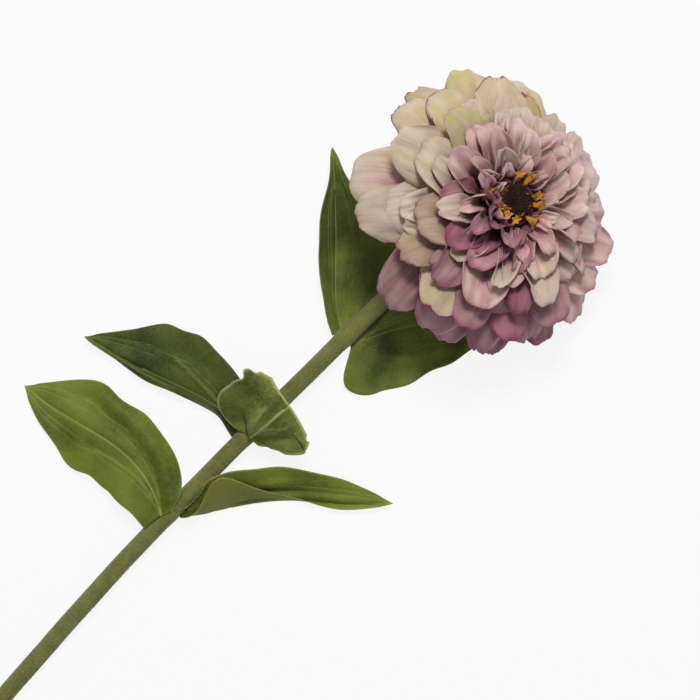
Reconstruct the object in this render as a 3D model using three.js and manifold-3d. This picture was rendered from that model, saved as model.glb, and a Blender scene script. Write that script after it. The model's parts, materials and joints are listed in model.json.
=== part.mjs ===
// A cut zinnia, laid down: one double bloom, its green calyx, a stem and three pairs of leaves.
// Millimetres, +Z up. The surface it lies on is z = 0 and the stem runs along +X towards the bloom.
import * as THREE from "three";
import { mergeVertices } from "three/addons/utils/BufferGeometryUtils.js";
import Module from "manifold-3d";

const wasm = await Module();
wasm.setup();

// ---- driving dimensions ----
const GAP = 0.3; // clearance left between two pieces that touch
const STEM_RADIUS = 3.4;
const STEM_SIDES = 7; // for each half of its section
const STEM_STEPS = 31;
const LEAF_THICKNESS = 0.9;
const PETAL_THICKNESS = 0.8;
const BRACT_THICKNESS = 0.8;

// The stem's centre line, from its cut end to the back of the calyx.
const STEM_LINE = [
  [0, 0, 3.4],
  [60, 3.7, 3.5],
  [131, 6.6, 4.4],
  [186, 6.4, 5.8],
  [250, 5.1, 7.0],
  [279, 4.2, 6.4],
  [300, 3.6, 8.6],
  [311, 3.4, 13.2],
];

// The bloom's own frame: its origin on the plane of the outermost petal tips, its axis leaning over.
const BLOOM_CENTRE = new THREE.Vector3(319, 1.7, 23.8);
const BLOOM_TILT = THREE.MathUtils.degToRad(26);
const BLOOM_BEARING = THREE.MathUtils.degToRad(-32);

// Heights along the bloom's axis, measured from that plane.
const CALYX_BOTTOM = -6;
const CALYX_TOP = 6;
const CORE_TOP = 27;
const FLORET_PLATE_TOP = 28.4;
const DISC_TOP = 32;

const CORE_RADIUS = 9.6;
const CORE_WAIST = 13.5;
const FLORET_PLATE_RADIUS = 9;
const DISC_RADIUS = 6.2;

// Whorls of ray petals from the outermost in. Each petal's root is at (radius, height) on the core; it leaves at
// angle rise and arches over to angle droop at its tip. Odd places are lifted, so neighbours lap like tiles. Cup is
// the half angle of the cross-section, below zero where the margins hang. Loose is how untidily the petals stray, and
// leanIn how far those towards bearing LEAN_BEARING fold in over the disc. The places of the outer whorls are
// [bearing, share of the whorl's length, half width]; the inner ones are evenly spaced from the bearing given.
const WHORLS = [
  {
    length: 48, radius: 10, height: 9, rise: 6, droop: -34, lift: 8, cup: -0.6, rows: 4, columns: 4, loose: 1,
    places: [
      [-10, 0.99, 12], [8, 0.93, 13.5], [33, 0.9, 11], [56, 0.97, 11], [70, 1.04, 10.5], [83, 1.08, 11.5],
      [97, 1, 12], [112, 0.94, 11.5], [149, 1, 15], [172, 0.97, 12], [203, 0.95, 13], [225, 0.97, 11.5],
      [240, 0.97, 10], [252, 1, 9.5], [264, 1, 10], [276, 0.99, 11], [291, 1.05, 10.5], [305, 1.08, 10.5],
      [319, 1.03, 11], [335, 0.96, 11],
    ],
  },
  {
    length: 39, radius: 10, height: 13, rise: 20, droop: -22, lift: 6, cup: -0.45, rows: 4, columns: 4, loose: 1,
    places: [
      [12, 0.96, 8.5], [32, 0.9, 9], [52, 0.97, 9.5], [76, 1.05, 11.5], [100, 1.04, 11.5], [134, 1.0, 11.5],
      [168, 0.97, 12], [193, 0.95, 10], [218, 1.04, 11.5], [238, 1.06, 10.5], [259, 1.08, 10], [286, 1.08, 11],
      [308, 1.1, 9.5], [325, 1.04, 9], [346, 0.97, 11],
    ],
  },
  {
    length: 32, radius: 10, height: 16, rise: 33, droop: -12, lift: 4, cup: 0.2, rows: 3, columns: 4, loose: 1.6,
    places: [
      [4, 1, 8.5], [28, 0.95, 8], [48, 0.92, 8.5], [72, 0.98, 8], [88, 1, 10], [109, 1.02, 9.5], [144, 1, 10],
      [182, 1.02, 10], [209, 1.02, 9], [231, 1.05, 11], [252, 1.05, 10], [278, 1.06, 9], [302, 1, 8.5], [337, 1, 9],
    ],
  },
  {
    length: 26, radius: 9.6, height: 19, rise: 46, droop: 4, lift: 4, cup: 0.75, rows: 3, columns: 4,
    count: 12, from: 14, halfWidth: 7.8, loose: 1.8,
  },
  {
    length: 18.5, radius: 9.2, height: 21.6, rise: 58, droop: 20, lift: 0, cup: 1.1, rows: 3, columns: 2,
    count: 11, from: 0, halfWidth: 5.4, loose: 2, leanIn: 20,
  },
  {
    length: 12, radius: 9.2, height: 23.6, rise: 66, droop: 38, lift: 0, cup: 1.0, rows: 2, columns: 2,
    count: 9, from: 20, halfWidth: 3.3, loose: 2, leanIn: 25,
  },
];
const PETAL_SEED = 7;
const LEAN_BEARING = 170;

// A petal's outline, in shares: its claw's width, where it is widest, its width where the tip begins to round off,
// how far the corners of the tip fall back, and the notch.
const CLAW_SHARE = 0.2;
const SHOULDER = 0.62;
const TIP_SHARE = 0.9;
const TIP_ROUND = 0.25;
const TIP_NOTCH = 0.03;

const { degToRad, lerp, smoothstep } = THREE.MathUtils;

// ---- numbers ----

// A linear congruential generator: the same draws on every run.
function drawer(seed) {
  let state = seed;
  return (low, high) => {
    state = (1664525 * state + 1013904223) % 4294967296;
    return low + ((high - low) * state) / 4294967296;
  };
}

// Value at share t of a list of evenly spaced knots, on a smooth curve through them.
function spline(knots, t) {
  const at = Math.min(Math.max(t, 0), 1) * (knots.length - 1);
  const i = Math.min(Math.floor(at), knots.length - 2);
  const s = at - i;
  const [b, c] = [knots[i], knots[i + 1]];
  const a = i > 0 ? knots[i - 1] : 2 * b - c;
  const d = i + 2 < knots.length ? knots[i + 2] : 2 * c - b;
  const [m0, m1] = [(c - a) / 2, (d - b) / 2];
  return b + s * (m0 + s * (3 * (c - b) - 2 * m0 - m1 + s * (2 * (b - c) + m0 + m1)));
}

// A step of length 1 along an arc that starts at angle from and turns by turn, cut at share t.
function arc(from, turn, t) {
  const bend = Math.abs(turn) < 1e-4 ? 1e-4 : turn;
  return [
    (Math.sin(from + bend * t) - Math.sin(from)) / bend,
    (Math.cos(from) - Math.cos(from + bend * t)) / bend,
  ];
}

// ---- solids ----

function solidOf(geometry) {
  const bare = new THREE.BufferGeometry();
  bare.setAttribute("position", geometry.getAttribute("position").clone());
  bare.setIndex(geometry.index);
  const merged = mergeVertices(bare, 1e-4);
  return new wasm.Manifold(
    new wasm.Mesh({
      numProp: 3,
      vertProperties: merged.getAttribute("position").array,
      triVerts: new Uint32Array(merged.index.array),
    }),
  );
}

function geometryOf(solid) {
  const mesh = solid.getMesh();
  const geometry = new THREE.BufferGeometry();
  geometry.setAttribute("position", new THREE.BufferAttribute(mesh.vertProperties, 3));
  geometry.setIndex(new THREE.BufferAttribute(mesh.triVerts, 1));
  geometry.computeVertexNormals();
  return geometry;
}

function fuse(solids) {
  return solids.reduce((joined, solid) => joined.add(solid));
}

// The biggest body of a solid: a cut can leave loose scraps.
function mainBody(solid) {
  return solid.decompose().reduce((best, body) => (body.volume() > best.volume() ? body : best));
}

function namedMesh(name, solid, colour, roughness) {
  const material = new THREE.MeshStandardMaterial({ color: colour, roughness, metalness: 0 });
  const mesh = new THREE.Mesh(geometryOf(solid), material);
  mesh.name = name;
  return mesh;
}

// A thin closed blade on either side of surface(u, v), with u from root to tip and v from -1 to 1. Both faces are
// split along the same diagonals. Nothing reaches below the surface the flower lies on: it flattens there.
function bladeSolid(surface, rows, columns, thickness) {
  const step = 1e-3;
  const front = [];
  const back = [];
  for (let i = 0; i <= rows; i++) {
    for (let j = 0; j <= columns; j++) {
      const u = i / rows;
      const v = (2 * j) / columns - 1;
      const middle = surface(u, v);
      const along = surface(u + step, v).sub(surface(u - step, v));
      const across = surface(u, v + step).sub(surface(u, v - step));
      const half = along.cross(across).normalize().multiplyScalar(thickness / 2);
      const above = middle.clone().add(half);
      const below = middle.sub(half);
      const [low, high] = above.z < below.z ? [above, below] : [below, above];
      low.z = Math.max(low.z, 0);
      high.z = Math.max(high.z, low.z + 2 * Math.abs(half.z));
      front.push(above);
      back.push(below);
    }
  }
  const width = columns + 1;
  const offset = front.length;
  const index = [];
  const quad = (a, b, c, d) => index.push(a, b, c, a, c, d);
  for (let i = 0; i < rows; i++) {
    for (let j = 0; j < columns; j++) {
      const a = i * width + j;
      quad(a, a + width, a + width + 1, a + 1);
      index.push(offset + a, offset + a + width + 1, offset + a + width);
      index.push(offset + a, offset + a + 1, offset + a + width + 1);
    }
    const left = i * width;
    const right = left + columns;
    quad(left, offset + left, offset + left + width, left + width);
    quad(right, right + width, offset + right + width, offset + right);
  }
  const last = rows * width;
  for (let j = 0; j < columns; j++) {
    quad(j, j + 1, offset + j + 1, offset + j);
    quad(last + j, offset + last + j, offset + last + j + 1, last + j + 1);
  }
  const geometry = new THREE.BufferGeometry();
  geometry.setFromPoints([...front, ...back]);
  geometry.setIndex(index);
  const solid = solidOf(geometry);
  if (solid.volume() > 0) return solid;
  geometry.setIndex(index.reverse());
  return solidOf(geometry);
}

// ---- stem ----

// The tube bends in to the bloom's axis and is cut square to it, just short of the calyx.
function stemTube(radius) {
  const line = new THREE.CatmullRomCurve3([
    ...STEM_LINE.map((p) => new THREE.Vector3(...p)),
    bloomPoint(0, 0, CALYX_BOTTOM - 2),
    bloomPoint(0, 0, CALYX_BOTTOM + 4),
  ]);
  const section = new THREE.Shape().absarc(0, 0, radius, 0, 2 * Math.PI, false);
  const tube = new THREE.ExtrudeGeometry(section, {
    steps: STEM_STEPS,
    curveSegments: STEM_SIDES,
    extrudePath: line,
  });
  const end = bloomPoint(0, 0, CALYX_BOTTOM - GAP);
  const back = bloomPoint(0, 0, -1).sub(BLOOM_CENTRE);
  return solidOf(tube).trimByPlane(back.toArray(), back.dot(end));
}

// ---- bloom ----

// A point of the bloom's frame: polar radius, bearing and height along the leaning axis.
function bloomPoint(radius, bearing, height) {
  return new THREE.Vector3(radius * Math.cos(bearing), radius * Math.sin(bearing), height)
    .applyAxisAngle(new THREE.Vector3(0, 1, 0), BLOOM_TILT)
    .applyAxisAngle(new THREE.Vector3(0, 0, 1), BLOOM_BEARING)
    .add(BLOOM_CENTRE);
}

// A solid turned on the bloom's axis, from a profile of (radius, height) pairs.
function turned(profile, segments, relief = () => 0) {
  const lathe = new THREE.LatheGeometry(
    profile.map(([radius, height]) => new THREE.Vector2(radius, height)),
    segments,
  );
  const position = lathe.getAttribute("position");
  for (let k = 0; k < position.count; k++) {
    const [x, height, z] = [position.getX(k), position.getY(k), position.getZ(k)];
    const radius = Math.hypot(x, z);
    const bearing = radius > 1e-6 ? Math.atan2(-z, x) : 0;
    const at = bloomPoint(radius, bearing, height + relief(radius, bearing, height));
    position.setXYZ(k, at.x, at.y, at.z);
  }
  const solid = solidOf(lathe);
  if (solid.volume() > 0) return solid;
  lathe.setIndex([...lathe.index.array].reverse());
  return solidOf(lathe);
}

// Half width of a petal at share u of its length.
function petalOutline(u) {
  const spread = lerp(CLAW_SHARE, 1, smoothstep(u, 0, SHOULDER));
  return spread * lerp(1, TIP_SHARE, smoothstep(u, SHOULDER, 1));
}

function petalPoint(petal, u, v) {
  const share = u * (1 - (TIP_ROUND * Math.abs(v) ** 3 + petal.notch * (1 - Math.abs(v))) * u ** 3);
  const turn = petal.droop - petal.rise;
  const [out, up] = arc(petal.rise, turn, share);
  const slope = petal.rise + turn * share;
  const half = petal.halfWidth * petalOutline(u);
  const [across, lift] = arc(0, petal.cup, Math.abs(v));
  const side = half * across * Math.sign(v);
  const raise = half * lift + petal.wave * v * v * Math.sin(petal.phase + 5 * u) * u;
  const roll = petal.twist * u;
  const sideways = side * Math.cos(roll) - raise * Math.sin(roll);
  const normal = side * Math.sin(roll) + raise * Math.cos(roll);
  const radius = petal.radius + petal.length * out - normal * Math.sin(slope);
  const height = petal.height + petal.length * up + normal * Math.cos(slope);
  const bearing = petal.bearing + petal.sway * share * share;
  const centre = bloomPoint(radius, bearing, height);
  const sideDirection = bloomPoint(1, bearing + Math.PI / 2, 0).sub(BLOOM_CENTRE);
  return centre.addScaledVector(sideDirection, sideways);
}

// Every petal of the bloom, whorl by whorl.
function petalList() {
  const draw = drawer(PETAL_SEED);
  const even = (w) => Array.from({ length: w.count }, (_, i) => [w.from + (i * 360) / w.count, 1, w.halfWidth]);
  return WHORLS.flatMap((whorl) => {
    const strays = whorl.places ? 2 : 7;
    const { loose, leanIn = 0 } = whorl;
    const fold = (bearing) => leanIn * Math.max(0, Math.cos(degToRad(bearing - LEAN_BEARING)));
    return (whorl.places ?? even(whorl)).map(([bearing, reach, halfWidth], i) => ({
      ...whorl,
      bearing: degToRad(bearing + draw(-strays, strays)),
      length: whorl.length * reach * draw(1 - 0.03 * loose, 1 + 0.03 * loose),
      halfWidth: halfWidth * draw(0.95, 1.08),
      height: whorl.height + (i % 2) * 1.2,
      rise: degToRad(whorl.rise + (i % 2) * whorl.lift + draw(-3, 3) * loose + 0.3 * fold(bearing)),
      droop: degToRad(whorl.droop + (i % 2) * whorl.lift + draw(-6, 6) * loose + fold(bearing)),
      cup: whorl.cup + draw(-0.15, 0.15) * loose,
      twist: degToRad(draw(-10, 10) * loose),
      sway: degToRad(draw(-5, 5) * loose),
      wave: halfWidth * draw(0.02, 0.1),
      phase: draw(0, 2 * Math.PI),
      notch: TIP_NOTCH * draw(0, 2),
    }));
  });
}

function petals() {
  const core = turned(
    [
      [0, CALYX_TOP], [8, CALYX_TOP], [CORE_WAIST, 9], [CORE_WAIST, 14],
      [CORE_RADIUS, 22], [CORE_RADIUS, CORE_TOP], [0, CORE_TOP],
    ],
    16,
  );
  const blades = petalList().map((petal) =>
    bladeSolid((u, v) => petalPoint(petal, u, v), petal.rows, petal.columns, PETAL_THICKNESS),
  );
  return fuse([core, ...blades]);
}

function calyx() {
  const rows = [
    { count: 8, radius: 4.5, height: CALYX_BOTTOM + 1.6, length: 8.5, rise: 50, droop: 35, half: 3.6 },
    { count: 9, radius: 6.5, height: CALYX_BOTTOM + 5, length: 7.4, rise: 42, droop: 30, half: 3.6 },
  ];
  const cup = turned(
    [
      [0, CALYX_BOTTOM], [STEM_RADIUS + 0.8, CALYX_BOTTOM], [7.6, -2],
      [9.6, 3], [9.6, CALYX_TOP - GAP], [0, CALYX_TOP - GAP],
    ],
    16,
  );
  const bracts = rows.flatMap((row, k) =>
    Array.from({ length: row.count }, (_, i) => {
      const bract = {
        ...row,
        bearing: ((i + 0.5 * k) * 2 * Math.PI) / row.count,
        rise: degToRad(row.rise),
        droop: degToRad(row.droop),
        halfWidth: row.half,
        cup: 0.5,
        twist: 0,
        sway: 0,
        wave: 0,
        phase: 0,
        notch: -0.1,
      };
      return bladeSolid((u, v) => petalPoint(bract, u, v), 2, 2, BRACT_THICKNESS);
    }),
  );
  return fuse([cup, ...bracts]);
}

// Yellow star-shaped florets on the rim of a round plate.
function discFlorets() {
  const draw = drawer(11);
  const count = 12;
  const plate = turned(
    [
      [0, CORE_TOP + GAP], [FLORET_PLATE_RADIUS, CORE_TOP + GAP],
      [FLORET_PLATE_RADIUS, FLORET_PLATE_TOP], [0, FLORET_PLATE_TOP],
    ],
    20,
  );
  const star = new THREE.Shape(
    Array.from({ length: 10 }, (_, i) => {
      const reach = i % 2 ? 0.75 : 1.6;
      return new THREE.Vector2(reach * Math.cos((i * Math.PI) / 5), reach * Math.sin((i * Math.PI) / 5));
    }),
  );
  const florets = Array.from({ length: count }, (_, i) => {
    const tall = draw(2.2, 4);
    const floret = new THREE.Object3D();
    floret.position.copy(bloomPoint(7.9, (2 * Math.PI * (i + draw(-0.2, 0.2))) / count, FLORET_PLATE_TOP - 0.5));
    floret.quaternion
      .setFromAxisAngle(new THREE.Vector3(0, 0, 1), BLOOM_BEARING)
      .multiply(new THREE.Quaternion().setFromAxisAngle(new THREE.Vector3(0, 1, 0), BLOOM_TILT + draw(-0.15, 0.15)));
    floret.updateMatrix();
    const throat = new THREE.CylinderGeometry(0.95, 0.6, tall, 5).rotateX(Math.PI / 2).translate(0, 0, tall / 2);
    const lobes = new THREE.ExtrudeGeometry(star, { depth: 0.7, bevelEnabled: false }).translate(0, 0, tall - 0.4);
    return fuse([throat, lobes].map((g) => solidOf(g.applyMatrix4(floret.matrix))));
  });
  return fuse([plate, ...florets]);
}

// The dark middle: a dome covered in close-set points, as relief.
function disc() {
  const rings = 6;
  const segments = 24;
  const base = FLORET_PLATE_TOP + GAP;
  const dome = Array.from({ length: rings }, (_, i) => {
    const angle = (i / rings) * (Math.PI / 2);
    return [DISC_RADIUS * Math.cos(angle), base + 0.6 + (DISC_TOP - base - 0.6) * Math.sin(angle)];
  });
  const relief = (radius, bearing, height) => {
    if (height < base + 0.5 || radius < 1e-6) return 0;
    const ring = Math.round((Math.acos(Math.min(radius / DISC_RADIUS, 1)) * 2 * rings) / Math.PI);
    const spoke = Math.round((bearing * segments) / (2 * Math.PI));
    return Math.abs(ring + spoke) % 2 ? 0.45 : 0;
  };
  return turned([[0, base], [DISC_RADIUS, base], ...dome, [0, DISC_TOP]], segments, relief);
}

// ---- leaves ----

// Each station along a leaf's midrib: where it is, then for each half of the blade its width, the angle at which it
// rises from the midrib, how much further it curls by the margin, both in degrees, and, where the lobe is swept back,
// how far the margin lags behind. Left is left looking to the tip.
const LEAVES = [
  {
    name: "leaf_low_left",
    ripple: 1.0,
    stations: [
      { at: [152.5, 8.2, 9.1], left: [8, -4, -20, 3], right: [4, 0, 0] },
      { at: [157.1, 18.2, 9.4], left: [12.3, -6, 0, 2], right: [12.5, 12, -24, 2] },
      { at: [159.6, 29, 8.6], left: [15.2, -8, -6], right: [15.4, 18, -44] },
      { at: [158.9, 41, 7], left: [16, -10, -4], right: [16.8, 14, -44] },
      { at: [156, 54, 4.2], left: [14.5, -6, 0], right: [18, 6, -24] },
      { at: [152.8, 67.5, 1.8], left: [8, -4, 4], right: [12.5, 0, -8] },
      { at: [151.4, 80.6, 0.8], left: [0.8, 0, 0], right: [0.8, 0, 0] },
    ],
  },
  {
    name: "leaf_low_right",
    ripple: 0.7,
    stations: [
      { at: [157, 3.6, 4.6], left: [4, 20, 0], right: [2, 60, 10] },
      { at: [163, -2.2, 2], left: [10.5, 36, -20], right: [9, 112, 20] },
      { at: [171.3, -7.6, 0.9], left: [16.2, 42, -16], right: [17, 124, 24] },
      { at: [181.5, -14.8, 0.6], left: [15.7, 38, -14], right: [8.8, 118, 24] },
      { at: [191.5, -24, 0.6], left: [13.5, 32, -10], right: [3.4, 100, 16] },
      { at: [204, -39.5, 1], left: [9.8, 16, -6], right: [2.2, 30, 0] },
      { at: [217, -52, 4], left: [0.8, 0, 0], right: [0.8, 0, 0] },
    ],
  },
  {
    name: "leaf_middle_left",
    ripple: 0.9,
    stations: [
      { at: [196, 7.8, 6], left: [4, -20, 0], right: [4, 0, 0] },
      { at: [197.2, 18.4, 7.6], left: [5, -58, 0], right: [12.5, 8, -10] },
      { at: [195.5, 29, 7.8], left: [5.5, -60, 10], right: [17.2, 12, -20] },
      { at: [192, 40, 7], left: [5, -50, 10], right: [20.6, 10, -24] },
      { at: [188, 51.5, 5.6], left: [4, -34, 10], right: [19.6, 4, -16] },
      { at: [184.4, 64, 4.4], left: [1.8, -10, 0], right: [10.5, 0, -6] },
      { at: [181, 77, 5], left: [0.7, 0, 0], right: [0.7, 0, 0] },
    ],
  },
  {
    name: "leaf_middle_hood",
    ripple: 1.6,
    side: [0.05, 1, 0],
    stations: [
      { at: [197.5, 4.8, 8.6], left: [5, 20, 0], right: [4, 0, 0] },
      { at: [199.5, 4.4, 13], left: [18, 8, -20, 5.5], right: [9.5, -10, -10, 3] },
      { at: [204, 3.8, 18], left: [21.4, 0, -30, 4.5], right: [14, -12, -16, 3.5] },
      { at: [209.5, 3.2, 20.6], left: [22.8, -8, -34, 1], right: [18.8, -12, -20, 1] },
      { at: [213.2, 2.8, 20.2], left: [21.2, -6, -24, -2.5], right: [17.6, -10, -18] },
      { at: [215, 2.4, 18.4], left: [17.5, 2, -4, -4], right: [16, -8, -18, -2] },
      { at: [215.6, 2.2, 15.8], left: [13, 4, 4, -4], right: [13, -8, -16, -3] },
    ],
  },
  {
    name: "leaf_top_left",
    ripple: 0.8,
    stations: [
      { at: [250, 7, 2.8], left: [4, 20, 10], right: [5, -8, 0] },
      { at: [257, 17, 1.5], left: [7.4, 44, 20], right: [13, -6, 6] },
      { at: [265.5, 25.5, 1.7], left: [9, 40, 16], right: [19, -7, 4] },
      { at: [274.5, 34, 2.8], left: [9, 40, 10], right: [20.5, -9, 6] },
      { at: [283, 42.5, 4.8], left: [6.4, 34, 10], right: [15, -10, 12] },
      { at: [291, 50.5, 8.4], left: [2.2, 24, 0], right: [5.2, -4, 30] },
      { at: [298.5, 58.8, 11.6], left: [0.8, 0, 0], right: [0.8, 0, 0] },
    ],
  },
  {
    name: "leaf_top_right",
    ripple: 0.9,
    stations: [
      { at: [250, 2.8, 4.6], left: [2.2, 0, 0], right: [2.2, 0, 0] },
      { at: [256, -1.5, 3.4], left: [7, 14, -10, 2], right: [17.5, -13, 10, 12.5] },
      { at: [263, -5, 2.4], left: [10, 16, -16], right: [21.5, -12, 8, 8] },
      { at: [271.5, -10.5, 1.9], left: [11, 14, -14], right: [20.8, -10, 6, 2] },
      { at: [281, -18.5, 1.6], left: [11, 8, -10], right: [16.5, -8, 2] },
      { at: [289.5, -27.5, 2.2], left: [7, 4, 0], right: [9, -6, 0] },
      { at: [297, -37, 2], left: [0.8, 0, 0], right: [0.8, 0, 0] },
    ],
  },
];
const LEAF_ROWS = 13;
const LEAF_COLUMNS = 6;

function leafPoint(leaf, u, v) {
  const along = (pick) => spline(leaf.stations.map(pick), u);
  const ahead = (axis, t) => spline(leaf.stations.map((s) => s.at[axis]), t);
  const middle = new THREE.Vector3(...[0, 1, 2].map((axis) => ahead(axis, u)));
  const [before, after] = [Math.max(u - 0.02, 0), Math.min(u + 0.02, 1)];
  const tangent = new THREE.Vector3(...[0, 1, 2].map((axis) => ahead(axis, after) - ahead(axis, before))).normalize();
  const sideHint = leaf.side ? new THREE.Vector3(...leaf.side) : new THREE.Vector3(0, 0, 1).cross(tangent);
  const side = sideHint.addScaledVector(tangent, -sideHint.dot(tangent)).normalize();
  const normal = tangent.clone().cross(side);
  const half = v < 0 ? "right" : "left";
  const width = along((s) => s[half][0]);
  const [out, up] = arc(degToRad(along((s) => s[half][1])), degToRad(along((s) => s[half][2])), Math.abs(v));
  const ripple = leaf.ripple * v * v * Math.sin(15 * u + (v < 0 ? 1.6 : 0)) * Math.sin(Math.PI * u);
  return middle
    .addScaledVector(side, width * out * (v < 0 ? -1 : 1))
    .addScaledVector(normal, width * up + ripple)
    .addScaledVector(tangent, -along((s) => s[half][3] ?? 0) * v * v);
}

function leafSolid(leaf, stemClearance) {
  const blade = bladeSolid((u, v) => leafPoint(leaf, u, v), LEAF_ROWS, LEAF_COLUMNS, LEAF_THICKNESS);
  return mainBody(blade.subtract(stemClearance));
}

// ---- the flower ----

const STEM_GREEN = 0x6f7040;
const LEAF_GREEN = 0x4e6124;
const PETAL_PINK = 0xc7a2a0;
const FLORET_YELLOW = 0xd8941f;
const DISC_BROWN = 0x2e2018;

const flower = new THREE.Group();
const stemClearance = stemTube(STEM_RADIUS + GAP);
flower.add(
  namedMesh("stem", stemTube(STEM_RADIUS), STEM_GREEN, 0.7),
  namedMesh("calyx", calyx(), LEAF_GREEN, 0.7),
  namedMesh("petals", petals(), PETAL_PINK, 0.85),
  namedMesh("yellow_florets", discFlorets(), FLORET_YELLOW, 0.7),
  namedMesh("disc", disc(), DISC_BROWN, 0.95),
);
for (const leaf of LEAVES) {
  flower.add(namedMesh(leaf.name, leafSolid(leaf, stemClearance), LEAF_GREEN, 0.6));
}

// The origin is on the surface, under the middle of the flower's box.
const bounds = new THREE.Box3().setFromObject(flower);
const middle = bounds.getCenter(new THREE.Vector3());
flower.position.set(-middle.x, -middle.y, -bounds.min.z);

const zinnia = new THREE.Group();
zinnia.add(flower);
export default zinnia;
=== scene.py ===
"""A cut double zinnia on a pale surface: bloom, stem and leaves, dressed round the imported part.

Shapes are worked out in millimetres from the stem's cut end, by the same rules as the solids, and moved into
the frame in metres as the last step.
"""

from __future__ import annotations

import json
import logging
import math
from dataclasses import dataclass, field, replace
from enum import Enum
from typing import Callable, Sequence

import bpy
import numpy as np
from mathutils import Matrix, Vector

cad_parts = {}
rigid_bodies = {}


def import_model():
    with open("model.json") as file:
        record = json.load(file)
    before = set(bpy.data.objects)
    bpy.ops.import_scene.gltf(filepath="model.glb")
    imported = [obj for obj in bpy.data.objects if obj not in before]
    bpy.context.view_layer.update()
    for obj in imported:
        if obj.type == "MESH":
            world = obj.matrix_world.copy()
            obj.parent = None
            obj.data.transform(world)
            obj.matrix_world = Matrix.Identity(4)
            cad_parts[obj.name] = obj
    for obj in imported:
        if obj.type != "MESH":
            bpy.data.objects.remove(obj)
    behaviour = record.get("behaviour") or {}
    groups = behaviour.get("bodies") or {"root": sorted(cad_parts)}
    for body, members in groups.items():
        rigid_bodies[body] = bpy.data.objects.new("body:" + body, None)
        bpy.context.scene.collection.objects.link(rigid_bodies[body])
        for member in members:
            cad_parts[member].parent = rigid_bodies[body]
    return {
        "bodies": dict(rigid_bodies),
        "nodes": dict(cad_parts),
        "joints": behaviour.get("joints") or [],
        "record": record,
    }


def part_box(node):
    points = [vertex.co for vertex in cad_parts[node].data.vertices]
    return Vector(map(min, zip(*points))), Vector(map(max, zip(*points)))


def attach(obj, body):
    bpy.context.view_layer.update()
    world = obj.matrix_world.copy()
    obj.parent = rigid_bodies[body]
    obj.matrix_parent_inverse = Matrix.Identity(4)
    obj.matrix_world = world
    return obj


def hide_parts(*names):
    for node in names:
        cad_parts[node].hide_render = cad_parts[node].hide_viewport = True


LOG = logging.getLogger("zinnia")
Array = np.ndarray
Colour = tuple[float, float, float, float]
Place = Callable[[Array], Array]

MM = 0.001


# ---- numbers ----


def linear(hex_colour: str) -> Colour:
    """Turns an sRGB hex colour into linear RGBA.

    Args:
        hex_colour: six hex digits, with or without a leading #.

    Returns:
        The colour as Blender's sockets want it.
    """
    digits = hex_colour.lstrip("#")
    channels = [int(digits[i : i + 2], 16) / 255 for i in (0, 2, 4)]
    r, g, b = (c / 12.92 if c <= 0.04045 else ((c + 0.055) / 1.055) ** 2.4 for c in channels)
    return (r, g, b, 1.0)


def smoothstep(x: Array, low: float, high: float) -> Array:
    """Hermite step from 0 at low to 1 at high."""
    t = np.clip((x - low) / (high - low), 0, 1)
    return t * t * (3 - 2 * t)


def arc(start: Array, turn: Array, share: Array) -> tuple[Array, Array]:
    """Where a unit-length arc has got to.

    Args:
        start: the angle it leaves at, in radians.
        turn: how far it turns over its whole length.
        share: how much of its length has been covered.

    Returns:
        The distance covered along and above the starting axis.
    """
    bend = np.where(np.abs(turn) < 1e-4, 1e-4, turn)
    return (
        (np.sin(start + bend * share) - np.sin(start)) / bend,
        (np.cos(start) - np.cos(start + bend * share)) / bend,
    )


def spline(knots: Sequence[float], t: Array) -> Array:
    """A smooth curve through evenly spaced knots.

    Args:
        knots: its values at even steps.
        t: shares of the way along it.

    Returns:
        Its value at each share.
    """
    k = np.asarray(knots, float)
    k = np.concatenate([[2 * k[0] - k[1]], k, [2 * k[-1] - k[-2]]])
    at = np.clip(t, 0, 1) * (len(knots) - 1)
    i = np.minimum(at.astype(int), len(knots) - 2)
    s = at - i
    a, b, c, d = (k[i + n] for n in range(4))
    m0, m1 = (c - a) / 2, (d - b) / 2
    return b + s * (m0 + s * (3 * (c - b) - 2 * m0 - m1 + s * (2 * (b - c) + m0 + m1)))


def circle(sides: int) -> Array:
    """The bearings of evenly spaced points round a circle."""
    return np.linspace(0, 2 * np.pi, sides, endpoint=False)


def blade_grid(rows: int, columns: int) -> tuple[Array, Array]:
    """The shares along a blade, 0 to 1, and across it, -1 to 1, at each point of a grid."""
    return np.meshgrid(np.linspace(0, 1, rows + 1), np.linspace(-1, 1, columns + 1), indexing="ij")


@dataclass
class Drawer:
    """A linear congruential generator, the same one that draws the solid petals."""

    state: int

    FACTOR = 1664525
    STEP = 1013904223
    SPAN = 2**32

    def __call__(self, low: float, high: float) -> float:
        """The next number between low and high."""
        self.state = (self.FACTOR * self.state + self.STEP) % self.SPAN
        return low + (high - low) * self.state / self.SPAN


# ---- meshes ----


def ringed(rings: Sequence[Array], low: Array, high: Array) -> tuple[Array, Array]:
    """Closes a stack of rings into a solid that ends in a pole at either end.

    Args:
        rings: the rings from the bottom up, their points anticlockwise seen from the top.
        low: the bottom pole.
        high: the top pole.

    Returns:
        The points, and the faces as quads; one at a pole repeats the pole.
    """
    sides = len(rings[0])
    at = np.arange(len(rings) * sides).reshape(len(rings), sides)
    ahead = np.roll(at, -1, 1)
    walls = np.stack([at[:-1], ahead[:-1], ahead[1:], at[1:]], -1).reshape(-1, 4)
    first, last = np.full(sides, at.size), np.full(sides, at.size + 1)
    caps = [np.stack([first, ahead[0], at[0], first], -1), np.stack([last, at[-1], ahead[-1], last], -1)]
    return np.concatenate([*rings, [low], [high]]), np.concatenate([walls, *caps])


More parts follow.
